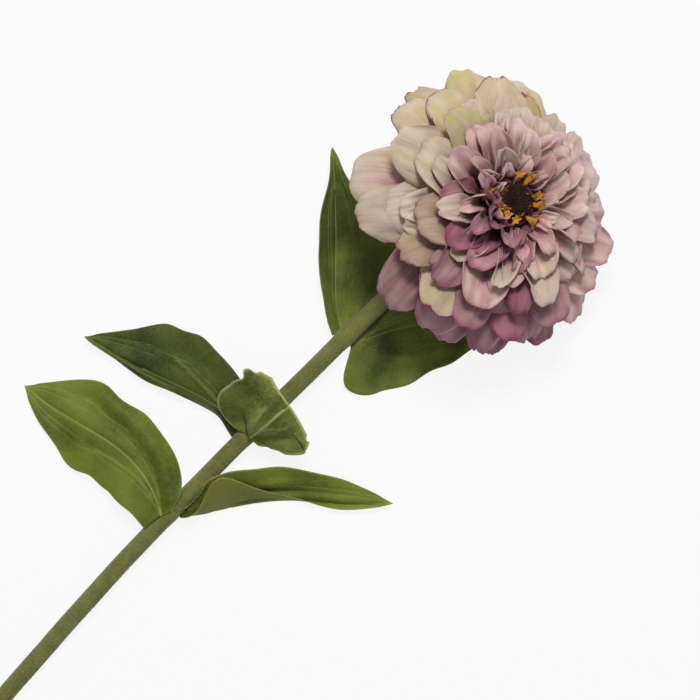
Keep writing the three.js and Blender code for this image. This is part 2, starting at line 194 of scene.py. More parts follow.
def mesh_object(
    name: str, points: Array, faces: Sequence[Sequence[int]], smooth: bool = True
) -> bpy.types.Object:
    """Makes an object from points in metres and faces.

    Args:
        name: the piece's name.
        points: one row of three for each vertex.
        faces: vertex numbers, anticlockwise seen from outside; a repeated one is dropped.
        smooth: whether its faces are shaded smooth.

    Returns:
        The object, linked to the scene.
    """
    mesh = bpy.data.meshes.new(name)
    rows = faces.tolist() if isinstance(faces, np.ndarray) else faces
    mesh.from_pydata(np.asarray(points).tolist(), [], [tuple(dict.fromkeys(row)) for row in rows])
    mesh.validate()
    mesh.polygons.foreach_set("use_smooth", [smooth] * len(mesh.polygons))
    made = bpy.data.objects.new(name, mesh)
    bpy.context.scene.collection.objects.link(made)
    return made


def spike(name: str, rings: Sequence[tuple[float, float, float]], sides: int) -> bpy.types.Object:
    """A small closed spike standing on its origin.

    Args:
        name: a name for the shape.
        rings: (radius, height, offset along X) in millimetres from the bottom; a point closes the top.
        sides: how many sides it has.

    Returns:
        The shape's object.
    """
    turn = circle(sides)
    points = [(r * math.cos(a) + x, r * math.sin(a), h) for r, h, x in rings[:-1] for a in turn]
    _, top, x = rings[-1]
    points.append((x, 0.0, top))
    faces: list[tuple[int, ...]] = [tuple(range(sides))[::-1]]
    for k in range(len(rings) - 2):
        for i in range(sides):
            j = (i + 1) % sides
            faces.append((k * sides + i, k * sides + j, (k + 1) * sides + j, (k + 1) * sides + i))
    last = (len(rings) - 2) * sides
    faces += [(last + i, last + (i + 1) % sides, len(points) - 1) for i in range(sides)]
    return mesh_object(name, np.array(points) * MM, faces)


@dataclass
class Shell:
    """Thin closed blades gathered into one mesh, with the numbers that their finish reads at each point."""

    name: str
    points: list[Array] = field(default_factory=list)
    faces: list[Array] = field(default_factory=list)
    numbers: dict[str, list[Array]] = field(default_factory=dict)
    count: int = 0

    def add_blade(self, middle: Array, half: Array, numbers: dict[str, Array]) -> None:
        """Adds one blade, lifted wherever it would reach below the surface.

        Args:
            middle: grid of points of the middle surface, rows from root to tip, in millimetres.
            half: half the thickness at each of them.
            numbers: an array for each attribute, over the same grid.
        """
        grid = middle.shape[:2]
        size = grid[0] * grid[1]
        normal = np.cross(np.gradient(middle, axis=0), np.gradient(middle, axis=1))
        normal /= np.linalg.norm(normal, axis=2, keepdims=True) + 1e-12
        front = middle + normal * half[..., None]
        back = middle - normal * half[..., None]
        sunk = np.maximum(0, -np.minimum(front[..., 2], back[..., 2]))
        front[..., 2] += sunk
        back[..., 2] += sunk
        at = np.arange(size).reshape(grid) + self.count
        a, b, c, d = at[:-1, :-1], at[1:, :-1], at[1:, 1:], at[:-1, 1:]
        top = np.stack([a, b, c, d], -1).reshape(-1, 4)
        bottom = np.stack([a, d, c, b], -1).reshape(-1, 4) + size
        rim = np.concatenate([at[:, 0], at[-1, 1:], at[-2::-1, -1], at[0, -2::-1]])
        wall = np.stack([rim, rim + size, np.roll(rim, -1) + size, np.roll(rim, -1)], -1)
        wall = wall[wall[:, 0] != wall[:, 3]]
        self.points += [front.reshape(-1, 3), back.reshape(-1, 3)]
        self.faces += [top, bottom, wall]
        for name, values in numbers.items():
            tail = np.shape(values)[2:]
            flat = np.broadcast_to(values, grid + tail).reshape((size,) + tail)
            self.numbers.setdefault(name, []).extend([flat, flat])
        self.numbers.setdefault("under", []).extend([np.zeros(size), np.ones(size)])
        self.count += 2 * size

    def add_solid(self, points: Array, faces: Array, numbers: dict[str, float | Colour]) -> None:
        """Adds a closed solid of quads.

        Args:
            points: its points in millimetres.
            faces: its faces.
            numbers: one value of each attribute for all of it.
        """
        self.points.append(points)
        self.faces.append(faces + self.count)
        for name, number in {**numbers, "under": 0.0}.items():
            value = np.asarray(number, float)
            flat = np.broadcast_to(value, (len(points),) + value.shape)
            self.numbers.setdefault(name, []).append(flat)
        self.count += len(points)

    def build(self, place: Place) -> bpy.types.Object:
        """Makes the mesh object.

        Args:
            place: moves millimetres into the frame.

        Returns:
            The object, with an attribute for each number.
        """
        made = mesh_object(self.name, place(np.concatenate(self.points)), np.concatenate(self.faces))
        for name, parts in self.numbers.items():
            values = np.concatenate(parts)
            kind, holder = ("FLOAT_COLOR", "color") if values.ndim == 2 else ("FLOAT", "value")
            numbers = made.data.attributes.new(name, kind, "POINT")
            numbers.data.foreach_set(holder, values.astype(np.float32).ravel())
        return made


# ---- nodes ----


def add(
    tree: bpy.types.NodeTree, kind: str, inputs: dict | None = None, **settings: object
) -> bpy.types.Node:
    """Adds a node with its settings and links.

    Args:
        tree: the node tree.
        kind: the node's type name.
        inputs: what each input gets, by name or by number: a value, an output socket, or a node, whose first
            live output is taken.
        settings: the node's own properties.

    Returns:
        The new node.
    """
    node = tree.nodes.new(kind)
    for name, value in settings.items():
        setattr(node, name, value)
    for key, value in (inputs or {}).items():
        if isinstance(value, bpy.types.Node):
            value = next(output for output in value.outputs if output.enabled)
        if isinstance(value, bpy.types.NodeSocket):
            tree.links.new(value, node.inputs[key])
        else:
            node.inputs[key].default_value = value
    return node


def blank_material(name: str) -> tuple[bpy.types.Material, bpy.types.NodeTree]:
    """Starts a material.

    Args:
        name: the material's name.

    Returns:
        The material and its empty tree.
    """
    made = bpy.data.materials.new(name)
    made.use_nodes = True
    made.node_tree.nodes.clear()
    return made, made.node_tree


@dataclass(frozen=True)
class Layer:
    """A colour laid over another where a number runs from a first value to a second."""

    shade: str
    source: bpy.types.Node | bpy.types.NodeSocket
    span: tuple[float, float]
    strength: float
    weight: bpy.types.NodeSocket | None = None
    blend: str = "LINEAR"

    def over(self, tree: bpy.types.NodeTree, colour: bpy.types.Node | Colour) -> bpy.types.Node:
        """Lays it.

        Args:
            tree: the material's tree.
            colour: what it is laid over.

        Returns:
            The node that gives both.
        """
        first, second = self.span
        share = add(
            tree,
            "ShaderNodeMapRange",
            {
                "Value": self.source,
                "From Min": first,
                "From Max": second,
                "To Min": 0.0,
                "To Max": self.strength,
            },
            interpolation_type=self.blend,
        )
        if self.weight is not None:
            share = add(tree, "ShaderNodeMath", {0: share, 1: self.weight}, operation="MULTIPLY")
        return add(
            tree,
            "ShaderNodeMix",
            {"Factor": share, "A": colour, "B": linear(self.shade)},
            data_type="RGBA",
        )


def growing_tree(name: str, values: dict[str, float]) -> bpy.types.NodeTree:
    """Starts a Geometry Nodes tree.

    Args:
        name: the tree's name.
        values: its named inputs; a whole number makes an integer one.

    Returns:
        The tree, into which a carrier and the named inputs go and out of which a result comes.
    """
    tree = bpy.data.node_groups.new(name, "GeometryNodeTree")
    tree.interface.new_socket("Carrier", in_out="INPUT", socket_type="NodeSocketGeometry")
    for label, value in values.items():
        kind = "NodeSocketInt" if isinstance(value, int) else "NodeSocketFloat"
        tree.interface.new_socket(label, in_out="INPUT", socket_type=kind)
    tree.interface.new_socket("Result", in_out="OUTPUT", socket_type="NodeSocketGeometry")
    return tree


def end_tree(tree: bpy.types.NodeTree, copies: bpy.types.Node, material: bpy.types.Material) -> None:
    """Ends a Geometry Nodes tree with its copies made real and given their finish.

    Args:
        tree: the tree.
        copies: the node that gives the copies.
        material: the finish.
    """
    real = add(tree, "GeometryNodeRealizeInstances", {"Geometry": copies})
    done = add(tree, "GeometryNodeSetMaterial", {"Geometry": real, "Material": material})
    add(tree, "NodeGroupOutput", {"Result": done})


def grown(
    name: str, carrier: bpy.types.Object, tree: bpy.types.NodeTree, values: dict[str, float]
) -> bpy.types.Object:
    """Runs a Geometry Nodes tree on a carrier and keeps what it makes as a plain mesh.

    Args:
        name: the new piece's name.
        carrier: what the tree runs on; it is left without its modifier.
        tree: the tree.
        values: what its named inputs are set to.

    Returns:
        The new object.
    """
    modifier = carrier.modifiers.new(name, "NODES")
    modifier.node_group = tree
    for socket in tree.interface.items_tree:
        if socket.in_out == "INPUT" and socket.name in values:
            modifier[socket.identifier] = values[socket.name]
    bpy.context.view_layer.update()
    graph = bpy.context.evaluated_depsgraph_get()
    mesh = bpy.data.meshes.new_from_object(carrier.evaluated_get(graph))
    mesh.name = name
    made = bpy.data.objects.new(name, mesh)
    bpy.context.scene.collection.objects.link(made)
    carrier.modifiers.remove(modifier)
    return made


@dataclass
class Scatter:
    """Copies of one shape set on a surface by Geometry Nodes, leaning, turned and sized at random.

    Density is in copies for each square metre, lean in radians, and low and high are the smallest and largest
    size as a share of the shape's own.
    """

    name: str
    density: float
    low: float
    high: float
    lean: float
    seed: int = 3

    def grow(
        self, base: bpy.types.Object, shape: bpy.types.Object, material: bpy.types.Material
    ) -> bpy.types.Object:
        """Covers a surface with copies.

        Args:
            base: the surface that carries them.
            shape: what is copied, standing on its origin along +Z; it is removed afterwards.
            material: their finish.

        Returns:
            The copies as one plain mesh.
        """
        values = {
            "Density": self.density,
            "Smallest": self.low,
            "Largest": self.high,
            "Lean": self.lean,
            "Seed": self.seed,
        }
        tree = growing_tree(self.name, values)
        given = add(tree, "NodeGroupInput").outputs
        spots = add(
            tree,
            "GeometryNodeDistributePointsOnFaces",
            {"Mesh": given["Carrier"], "Density": given["Density"], "Seed": given["Seed"]},
        )
        wobble = add(
            tree,
            "FunctionNodeRandomValue",
            {0: (-1, -1, 0), 1: (1, 1, 0), "Seed": given["Seed"]},
            data_type="FLOAT_VECTOR",
        )
        leaning = add(
            tree, "ShaderNodeVectorMath", {0: wobble, "Scale": given["Lean"]}, operation="SCALE"
        )
        turned = add(
            tree,
            "FunctionNodeRotateEuler",
            {"Rotation": spots.outputs["Rotation"], "Rotate By": leaning},
            rotation_type="EULER",
            space="LOCAL",
        )
        sizes = add(
            tree,
            "FunctionNodeRandomValue",
            {2: given["Smallest"], 3: given["Largest"], "Seed": given["Seed"]},
            data_type="FLOAT",
        )
        what = add(tree, "GeometryNodeObjectInfo", {"Object": shape})
        copies = add(
            tree,
            "GeometryNodeInstanceOnPoints",
            {
                "Points": spots,
                "Instance": what.outputs["Geometry"],
                "Rotation": turned,
                "Scale": sizes,
            },
        )
        end_tree(tree, copies, material)
        made = grown(self.name, base, tree, values)
        bpy.data.objects.remove(shape)
        made.data.materials.clear()
        made.data.materials.append(material)
        return made


# ---- finishes ----


@dataclass(frozen=True)
class Dye:
    """The dye of a petal: the sRGB hex colours of its parts, and how strongly some of them show."""

    claw: str
    body: str
    tip: str
    band: str
    blot: str
    banding: float  # the soft band along the margin
    edging: float  # the thin line on the margin
    streaking: float  # the veins near the claw
    blotching: float  # the blots


class Tint(Enum):
    """The dyes that the petals come in."""

    CREAM = Dye("AE8478", "C4B09E", "C9BCA8", "C2A898", "BFB48A", 0.3, 0.1, 0.6, 0.7)
    EDGED_CREAM = Dye("B28274", "C6AC98", "C9B99E", "B8948C", "BCB180", 0.3, 2.2, 0.6, 0.7)
    LIME = Dye("B8907C", "C2AE92", "B3AC74", "C4B790", "C8AE9C", 0.25, 0.15, 0.4, 0.6)
    EDGED_LIME = Dye("B88E7C", "C4AC92", "B5AB78", "B0907A", "C6A898", 0.3, 2.2, 0.4, 0.6)
    PEACH = Dye("BE8468", "C7A680", "C8B084", "B48A78", "C2AC6C", 0.3, 1.4, 0.4, 0.6)
    VEINED = Dye("9A6070", "C4A49C", "C8BCAA", "C8B6A4", "BDB48C", 0.3, 0.05, 1.7, 0.5)
    BLUSH = Dye("8A5460", "C2A398", "CDBBAA", "BC9C98", "C0B094", 0.3, 0.05, 0.8, 0.6)
    BEIGE = Dye("64383E", "A68A7A", "B8A48C", "8C5C60", "B0946E", 0.35, 0.8, 1.5, 0.5)
    STREAKED = Dye("5E3848", "A07C80", "B0968F", "8A5A66", "8C5C6C", 0.45, 0.7, 1.7, 0.6)
    DUSTY = Dye("74404A", "C2A19B", "D6C1B8", "BC9C9A", "B58C92", 0.3, 0.0, 0.8, 0.55)
    PINK = Dye("6C3341", "BF9896", "D4B8B0", "AC7A86", "AE7F88", 0.4, 0.12, 0.8, 0.55)
    ROSE = Dye("5E2B40", "A98084", "B08A8C", "8F4667", "90606E", 0.6, 0.4, 0.7, 0.55)
    MAUVE = Dye("4E2238", "98656F", "A4727F", "86305A", "7C4258", 0.75, 0.7, 0.5, 0.5)


# The letters that a whorl's row of tints is written in.
TINTS = {
    "c": Tint.CREAM,
    "C": Tint.EDGED_CREAM,
    "l": Tint.LIME,
    "L": Tint.EDGED_LIME,
    "k": Tint.PEACH,
    "v": Tint.VEINED,
    "b": Tint.BLUSH,
    "B": Tint.BEIGE,
    "s": Tint.STREAKED,
    "d": Tint.DUSTY,
    "p": Tint.PINK,
    "r": Tint.ROSE,
    "m": Tint.MAUVE,
}


@dataclass(frozen=True)
class PetalSkin:
    """Zinnia ray petal, fresh, with a matt skin of fine cells.

    The skin scatters light like cloth, so the eye sees no gloss, soft streaks that follow the veins, a thin
    burgundy edge and light glowing through where the blade is single.
    """

    edge: str = "863A5A"
    streak: str = "8A4C62"
    roughness: float = 0.72
    # How far apart the veins are, and how far each runs before it changes.
    vein_mm: tuple[float, float] = (1.1, 28.57)
    # The edge's least and greatest width, and how far it runs before it changes.
    edge_mm: tuple[float, float, float] = (0.15, 2.2, 2.857)
    patch_mm: float = 7.14
    # Skin cells are far too fine to show: drawn as a grain this size.
    cell_mm: float = 0.4

    def build(self) -> bpy.types.Material:
        """Builds the material from the petals' dye, margin, edging, rib, along and streaking numbers.

        Returns:
            The material.
        """
        made, tree = blank_material("zinnia_ray_petal_fresh")
        # The dye attribute is each petal's own colour, and on the core painted shade.
        dye, margin, edging, rib, along, streaking = (
            add(tree, "ShaderNodeAttribute", attribute_name=name).outputs
            for name in ("dye", "margin_mm", "edging", "rib_mm", "along_mm", "streaking")
        )
        place = add(tree, "ShaderNodeTexCoord").outputs["Object"]
        # Veins run from the claw to the tip: noise drawn fine across the blade and long along it.
        blade = add(tree, "ShaderNodeCombineXYZ", {"X": rib["Fac"], "Y": along["Fac"]})
        apart, run = self.vein_mm
        stretched = add(tree, "ShaderNodeMapping", {"Vector": blade, "Scale": (1 / apart, 1 / run, 1)})
        veins = add(tree, "ShaderNodeTexNoise", {"Vector": stretched, "Scale": 1.0, "Detail": 4.0})
        # The dye takes unevenly, in patches.
        patches = add(
            tree, "ShaderNodeTexNoise", {"Vector": place, "Scale": 1 / (self.patch_mm * MM), "Detail": 2.0}
        )
        mottled = add(
            tree,
            "ShaderNodeMapRange",
            {"Value": patches, "From Min": 0.3, "From Max": 0.7, "To Min": 0.9, "To Max": 1.1},
        )
        uneven = add(
            tree, "ShaderNodeVectorMath", {0: dye["Color"], 1: mottled}, operation="MULTIPLY"
        )
        streaks = Layer(self.streak, veins, (0.42, 0.62), 0.65, weight=streaking["Fac"])
        streaked = streaks.over(tree, uneven)
        # The burgundy edge comes and goes along the margin.
        least, most, run = self.edge_mm
        ragged = add(tree, "ShaderNodeTexNoise", {"Vector": blade, "Scale": 1 / run, "Detail": 2.0})
        reach = add(
            tree,
            "ShaderNodeMapRange",
            {"Value": ragged, "From Min": 0.42, "From Max": 0.66, "To Min": least, "To Max": most},
        )
        near = add(tree, "ShaderNodeMath", {0: margin["Fac"], 1: reach}, operation="DIVIDE")
        edge = Layer(self.edge, near, (1.0, 0.1), 0.85, weight=edging["Fac"], blend="SMOOTHSTEP")
        colour = edge.over(tree, streaked)
        grain = add(
            tree, "ShaderNodeTexNoise", {"Vector": place, "Scale": 1 / (self.cell_mm * MM), "Detail": 1.0}
        )
        height = add(tree, "ShaderNodeMath", {0: grain, 1: 0.22, 2: veins}, operation="MULTIPLY_ADD")
        bump = add(
            tree, "ShaderNodeBump", {"Height": height, "Strength": 0.7, "Distance": 0.5 * MM}
        )
        skin = add(
            tree,
            "ShaderNodeBsdfPrincipled",
            {
                "Base Color": colour,
                "Roughness": self.roughness,
                "IOR": 1.4,
                "Subsurface Weight": 0.25,
                "Subsurface Radius": (1.0, 0.6, 0.5),
                "Subsurface Scale": 1.0 * MM,
                "Sheen Weight": 0.12,
                "Sheen Roughness": 0.5,
                "Specular IOR Level": 0.12,
                "Normal": bump,
            },
        )
        add(tree, "ShaderNodeOutputMaterial", {"Surface": skin})
        return made


@dataclass(frozen=True)
class LeafSkin:
    """Zinnia leaf blade, thick and rough with short hairs.

    A waxy skin over a quilted net of veins: the eye sees a dull gloss broken up by grain, pale sunken ribs
    and a thin yellow-green margin.
    """

    name: str = "zinnia_leaf_blade"
    blade: str = "6E7A2B"
    deep: str = "49551D"
    rib: str = "949E4C"
    margin: str = "8A9444"
    under: str = "78793A"
    roughness: float = 0.5
    net_mm: float = 2.2
    margin_mm: float = 0.6
    cloud_mm: float = 20.0
    # Hair bases are too fine to show: drawn as a grain this size.
    hair_mm: float = 0.5

    def build(self) -> bpy.types.Material:
        """Builds the material from the leaf's rib, vein, margin, along, side vein and under numbers.

        Returns:
            The material.
        """
        made, tree = blank_material(self.name)
        rib, vein, margin, along, side, under = (
            add(tree, "ShaderNodeAttribute", attribute_name=name).outputs
            for name in ("rib_mm", "vein_mm", "margin_mm", "along_mm", "side_vein", "under")
        )
        place = add(tree, "ShaderNodeTexCoord").outputs["Object"]
        blade = add(tree, "ShaderNodeCombineXYZ", {"X": rib["Fac"], "Y": along["Fac"]})
        cloud = add(
            tree, "ShaderNodeTexNoise", {"Vector": place, "Scale": 1 / (self.cloud_mm * MM), "Detail": 6.0}
        )
        net = add(
            tree,
            "ShaderNodeTexVoronoi",
            {"Vector": blade, "Scale": 1 / self.net_mm},
            feature="DISTANCE_TO_EDGE",
        )
        off_rib = add(tree, "ShaderNodeMath", {0: rib["Fac"]}, operation="ABSOLUTE")
        colour: bpy.types.Node | Colour = linear(self.deep)
        for layer in (
            Layer(self.blade, cloud, (0.36, 0.62), 1.0),
            Layer(self.under, under["Fac"], (0.0, 1.0), 0.7),
            Layer(self.rib, net, (0.14, 0.0), 0.09),
            Layer(self.rib, off_rib, (0.6, 0.1), 0.7, blend="SMOOTHSTEP"),
            Layer(self.rib, vein["Fac"], (0.45, 0.1), 0.3, blend="SMOOTHSTEP"),
            Layer(self.rib, side["Fac"], (0.95, 1.0), 0.12),
            Layer(self.margin, margin["Fac"], (self.margin_mm, 0.2 * self.margin_mm), 0.8),
        ):
            colour = layer.over(tree, colour)
        # The net between the veins stands up as quilting, and the hair bases as grain.
        grain = add(
            tree, "ShaderNodeTexNoise", {"Vector": place, "Scale": 1 / (self.hair_mm * MM), "Detail": 2.0}
        )
        height = add(tree, "ShaderNodeMath", {0: net, 1: 1.2, 2: grain}, operation="MULTIPLY_ADD")
        bump = add(
            tree, "ShaderNodeBump", {"Height": height, "Strength": 0.4, "Distance": 0.4 * MM}
        )
        skin = add(
            tree,
            "ShaderNodeBsdfPrincipled",
            {
                "Base Color": colour,
                "Roughness": self.roughness,
                "IOR": 1.45,
                "Subsurface Weight": 0.15,
                "Subsurface Radius": (0.5, 1.0, 0.2),
                "Subsurface Scale": 1.2 * MM,
                "Specular IOR Level": 0.15,
                "Normal": bump,
            },
        )
        add(tree, "ShaderNodeOutputMaterial", {"Surface": skin})
        return made


class LeafPaintedLight(Enum):
    """How a pair of leaves is painted for the light on it: lighter where lit, darker in painted shade."""

    # The low pair is painted lit, the middle-left leaf and the top pair painted shade, and the hood painted
    # lit.
    PAINTED_LIT = "old"
    PAINTED_SHADE = "grown"
    UPPER = "upper"
    HOOD_PAINTED_LIT = "young"


# Lit and shaded copies of one leaf skin: each pair's green is painted light or painted shade; the hood's pale
# rim is its own.
LEAF_SKINS = {
    LeafPaintedLight.PAINTED_LIT: LeafSkin(name="zinnia_leaf_painted_lit"),
    LeafPaintedLight.PAINTED_SHADE: LeafSkin(
        name="zinnia_leaf_painted_shade", blade="4D571F", deep="2D3713", rib="7C8950", margin="6C753A", under="666B34"
    ),
    LeafPaintedLight.UPPER: LeafSkin(
        name="zinnia_leaf_upper_painted_shade", blade="6E7833", deep="404B20", rib="84904F", margin="788242", under="6E7340"
    ),
    LeafPaintedLight.HOOD_PAINTED_LIT: LeafSkin(
        name="zinnia_leaf_hood_painted_lit",
        blade="6F7935",
        deep="3F4A1B",
        rib="A0A766",
        margin="B4B57A",
        under="8D925A",
        margin_mm=1.3,
    ),
}


@dataclass(frozen=True)
class PlantSkin:
    """Green or dark plant skin with no blade pattern: stem, calyx, disc and florets.

    Grain over clouds about eight grains across breaks up two close colours, as downy skin does, so the eye
    sees a dull surface that isn't flat.
    """

    name: str
    light: str
    dark: str
    roughness: float = 0.8
    grain_mm: float = 0.7
    bump_mm: float = 0.15
    sheen: float = 0.1
    subsurface: float = 0.0
    cloud_share: float = 0.12

    def build(self) -> bpy.types.Material:
        """Builds the material from Object coordinates.

        Returns:
            The material.
        """
        made, tree = blank_material(self.name)
        place = add(tree, "ShaderNodeTexCoord").outputs["Object"]
        finest = 1 / (self.grain_mm * MM)
        grain = add(tree, "ShaderNodeTexNoise", {"Vector": place, "Scale": finest, "Detail": 2.0})
        cloud = add(
            tree,
            "ShaderNodeTexNoise",
            {"Vector": place, "Scale": self.cloud_share * finest, "Detail": 3.0},
        )
        mixed = add(tree, "ShaderNodeMath", {0: grain, 1: 0.9, 2: cloud}, operation="MULTIPLY_ADD")
        bump = add(
            tree,
            "ShaderNodeBump",
            {"Height": grain, "Strength": 0.5, "Distance": self.bump_mm * MM},
        )
        skin = add(
            tree,
            "ShaderNodeBsdfPrincipled",
            {
                "Base Color": Layer(self.light, mixed, (0.65, 1.2), 1.0).over(tree, linear(self.dark)),
                "Roughness": self.roughness,
                "IOR": 1.4,
                "Sheen Weight": self.sheen,
                "Sheen Roughness": 0.5,
                "Specular IOR Level": 0.25,
                "Subsurface Weight": self.subsurface,
                "Subsurface Scale": 1.0 * MM,
                "Normal": bump,
            },
        )
        add(tree, "ShaderNodeOutputMaterial", {"Surface": skin})
        return made


# Downy green-brown skin over a ribbed stem: a dull olive with fine pale and dark flecks.
STEM_SKIN = PlantSkin(
    "zinnia_stem_downy", light="787A46", dark="5C5E2E", grain_mm=0.8, bump_mm=0.3, sheen=0.2
)
# Dry overlapping scales, thin and dull green.
BRACT_SKIN = PlantSkin("zinnia_bract_dry", light="6F7E36", dark="3C4A1E", grain_mm=1.0)
# Packed dark scales with no gloss: nearly black, brown where a tip catches the light.
DISC_SKIN = PlantSkin(
    "zinnia_disc_scales", light="402B23", dark="1A100E", roughness=0.85, grain_mm=0.5, sheen=0.05
)
# Waxy disc florets, deep orange-yellow, soft light within.
FLORET_SKIN = PlantSkin(
    "zinnia_disc_floret",
    light="DA9528",
    dark="8C5A1E",
    roughness=0.6,
    grain_mm=0.8,
    bump_mm=0.08,
    subsurface=0.2,
)


# ---- where things are ----


@dataclass
class BloomFrame:
    """The bloom's own frame: its origin on the plane of the outermost tips, its axis leaning over."""

    centre: tuple[float, float, float] = (319.0, 1.7, 23.8)
    tilt: float = math.radians(26)
    bearing: float = math.radians(-32)

    @property
    def turn(self) -> Array:
        """The rotation from the bloom's frame to the flower's."""
        return np.array(Matrix.Rotation(self.bearing, 3, "Z") @ Matrix.Rotation(self.tilt, 3, "Y"))

    def point(self, radius: Array, bearing: Array, height: Array) -> Array:
        """Places points given by how they lie round the bloom's axis.

        Args:
            radius: distance from the axis, in millimetres.
            bearing: angle round it, in radians.
            height: distance along it.

        Returns:
            The points in the flower's frame.
        """
        radius, bearing, height = np.broadcast_arrays(radius, bearing, height)
        local = np.stack([radius * np.cos(bearing), radius * np.sin(bearing), height], -1)
        return local @ self.turn.T + np.array(self.centre)

    def turned_solid(self, profile: Sequence[tuple[float, float]], sides: int) -> tuple[Array, Array]:
        """Turns a profile round the bloom's axis.

        Args:
            profile: (radius, height) from the bottom up.
            sides: how many sides the solid has.

        Returns:
            Its points in the flower's frame and its faces, closed at both ends.
        """
        rings = [self.point(radius, circle(sides), height) for radius, height in profile]
        low, high = (self.point(0.0, 0.0, profile[end][1]) for end in (0, -1))
        return ringed(rings, low, high)

    def matrix(self, shift: Array) -> Matrix:
        """Gives the bloom's frame as a matrix.

        Args:
            shift: how far the flower is moved, in millimetres.

        Returns:
            The matrix from the bloom's millimetres to the frame's metres.
        """
        made = Matrix(self.turn.tolist()).to_4x4()
        made.translation = Vector((np.array(self.centre) + shift) * MM)
        return made @ Matrix.Scale(MM, 4)


@dataclass
class StemLine:
    """The stem's centre line from its cut end to the back of the calyx."""

    frame: BloomFrame
    radius: float = 3.4
    back: float = -6.3
    knots: tuple[tuple[float, float, float], ...] = (
        (0, 0, 3.4),
        (60, 3.7, 3.5),
        (131, 6.6, 4.4),
        (186, 6.4, 5.8),
        (250, 5.1, 7.0),
        (279, 4.2, 6.4),
        (300, 3.6, 8.6),
        (311, 3.4, 13.2),
    )

    def points(self, count: int) -> Array:
        """A centripetal Catmull-Rom curve through the knots and in along the bloom's axis.

        Args:
            count: how many points, evenly spaced.

        Returns:
            The points up to the calyx.
        """
        ends = [self.frame.point(0, 0, h) for h in (-8.0, -2.0)]
        k = np.array([*self.knots, *ends], float)
        k = np.concatenate([[2 * k[0] - k[1]], k, [2 * k[-1] - k[-2]]])
        dense = []
        for i in range(len(k) - 3):
            p0, p1, p2, p3 = k[i : i + 4]
            d0, d1, d2 = (np.sum((b - a) ** 2) ** 0.25 for a, b in ((p0, p1), (p1, p2), (p2, p3)))
            m1 = ((p1 - p0) / d0 - (p2 - p0) / (d0 + d1) + (p2 - p1) / d1) * d1
            m2 = ((p2 - p1) / d1 - (p3 - p1) / (d1 + d2) + (p3 - p2) / d2) * d1
            s = np.linspace(0, 1, 60, endpoint=False)[:, None]
            dense.append(
                p1 + m1 * s + (-3 * p1 + 3 * p2 - 2 * m1 - m2) * s**2 + (2 * p1 - 2 * p2 + m1 + m2) * s**3
            )
        line = np.concatenate(dense)
        end = self.frame.point(0, 0, self.back)
        axis = self.frame.turn[:, 2]
        line = line[(line - end) @ axis < 0]
        line = np.concatenate([line, end[None]])
        length = np.concatenate([[0], np.cumsum(np.linalg.norm(np.diff(line, axis=0), axis=1))])
        at = np.linspace(0, length[-1], count)
        return np.stack([np.interp(at, length, line[:, n]) for n in range(3)], -1)


# ---- stem ----


@dataclass
class Stem:
    """The stem: a downy tube with faint ribs, swollen where each pair of leaves is borne."""

    line: StemLine
    sides: int = 40
    steps: int = 420
    joints: tuple[float, ...] = (155.0, 197.5, 250.5)
    joint_reach: float = 3.2
    joint_swell: float = 0.32
    skin_share: float = 0.06
    hair: tuple[tuple[float, float, float], ...] = ((0.05, -0.1, 0), (0.035, 0.25, 0.02), (0, 0.55, 0.1))

    def tube(self) -> tuple[Array, Array]:
        """Works out the tube.

        Returns:
            Its points in millimetres and its faces, closed at both ends.
        """
        centre = self.line.points(self.steps)
        ahead = np.gradient(centre, axis=0)
        ahead /= np.linalg.norm(ahead, axis=1, keepdims=True)
        side = np.cross([0.0, 0.0, 1.0], ahead)
        side /= np.linalg.norm(side, axis=1, keepdims=True)
        up = np.cross(ahead, side)
        turn = circle(self.sides)
        swell = sum(np.exp(-(((centre[:, 0] - x) / self.joint_reach) ** 2)) for x in self.joints)
        ribs = 0.05 * np.cos(9 * turn)[None] + 0.04 * np.cos(5 * turn + 1)[None]
        lumps = 0.05 * np.sin(centre[:, :1] * 0.21) * np.cos(turn + 0.7)[None]
        radius = self.line.radius - self.skin_share + ribs + lumps + self.joint_swell * swell[:, None]
        outward = np.cos(turn)[None, :, None] * side[:, None] + np.sin(turn)[None, :, None] * up[:, None]
        points = centre[:, None] + radius[..., None] * outward
        points[..., 2] = np.maximum(points[..., 2], 0.0)
        return ringed(list(points), centre[0], centre[-1])

    def push_out(self, points: Array, clear: float) -> Array:
        """Moves points that lie inside the stem out to its surface.

        Args:
            points: grid of points in millimetres.
            clear: how far outside the stem they end.

        Returns:
            The moved points.
        """
        centre = self.line.points(160)
        flat = points.reshape(-1, 3)
        nearest = centre[np.argmin(((flat[:, None] - centre[None]) ** 2).sum(-1), axis=1)]
        away = flat - nearest
        distance = np.linalg.norm(away, axis=1, keepdims=True)
        reach = self.line.radius + clear
        moved = nearest + away / np.maximum(distance, 1e-6) * np.maximum(distance, reach)
        return np.where(distance < reach, moved, flat).reshape(points.shape)

    def down(self, tube: bpy.types.Object, skin: bpy.types.Material) -> bpy.types.Object:
        """Covers the tube with short hairs.

        Args:
            tube: the stem's tube.
            skin: its finish, which the hairs share.

        Returns:
            The hairs as one piece, kept above the surface that the stem lies on.
        """
        scatter = Scatter("stem_down", density=4.0e5, low=0.6, high=1.3, lean=0.6)
        made = scatter.grow(tube, spike("hair_shape", self.hair, 3), skin)
        for vertex in made.data.vertices:
            vertex.co.z = max(vertex.co.z, 0.0)
        return made


# ---- petals ----


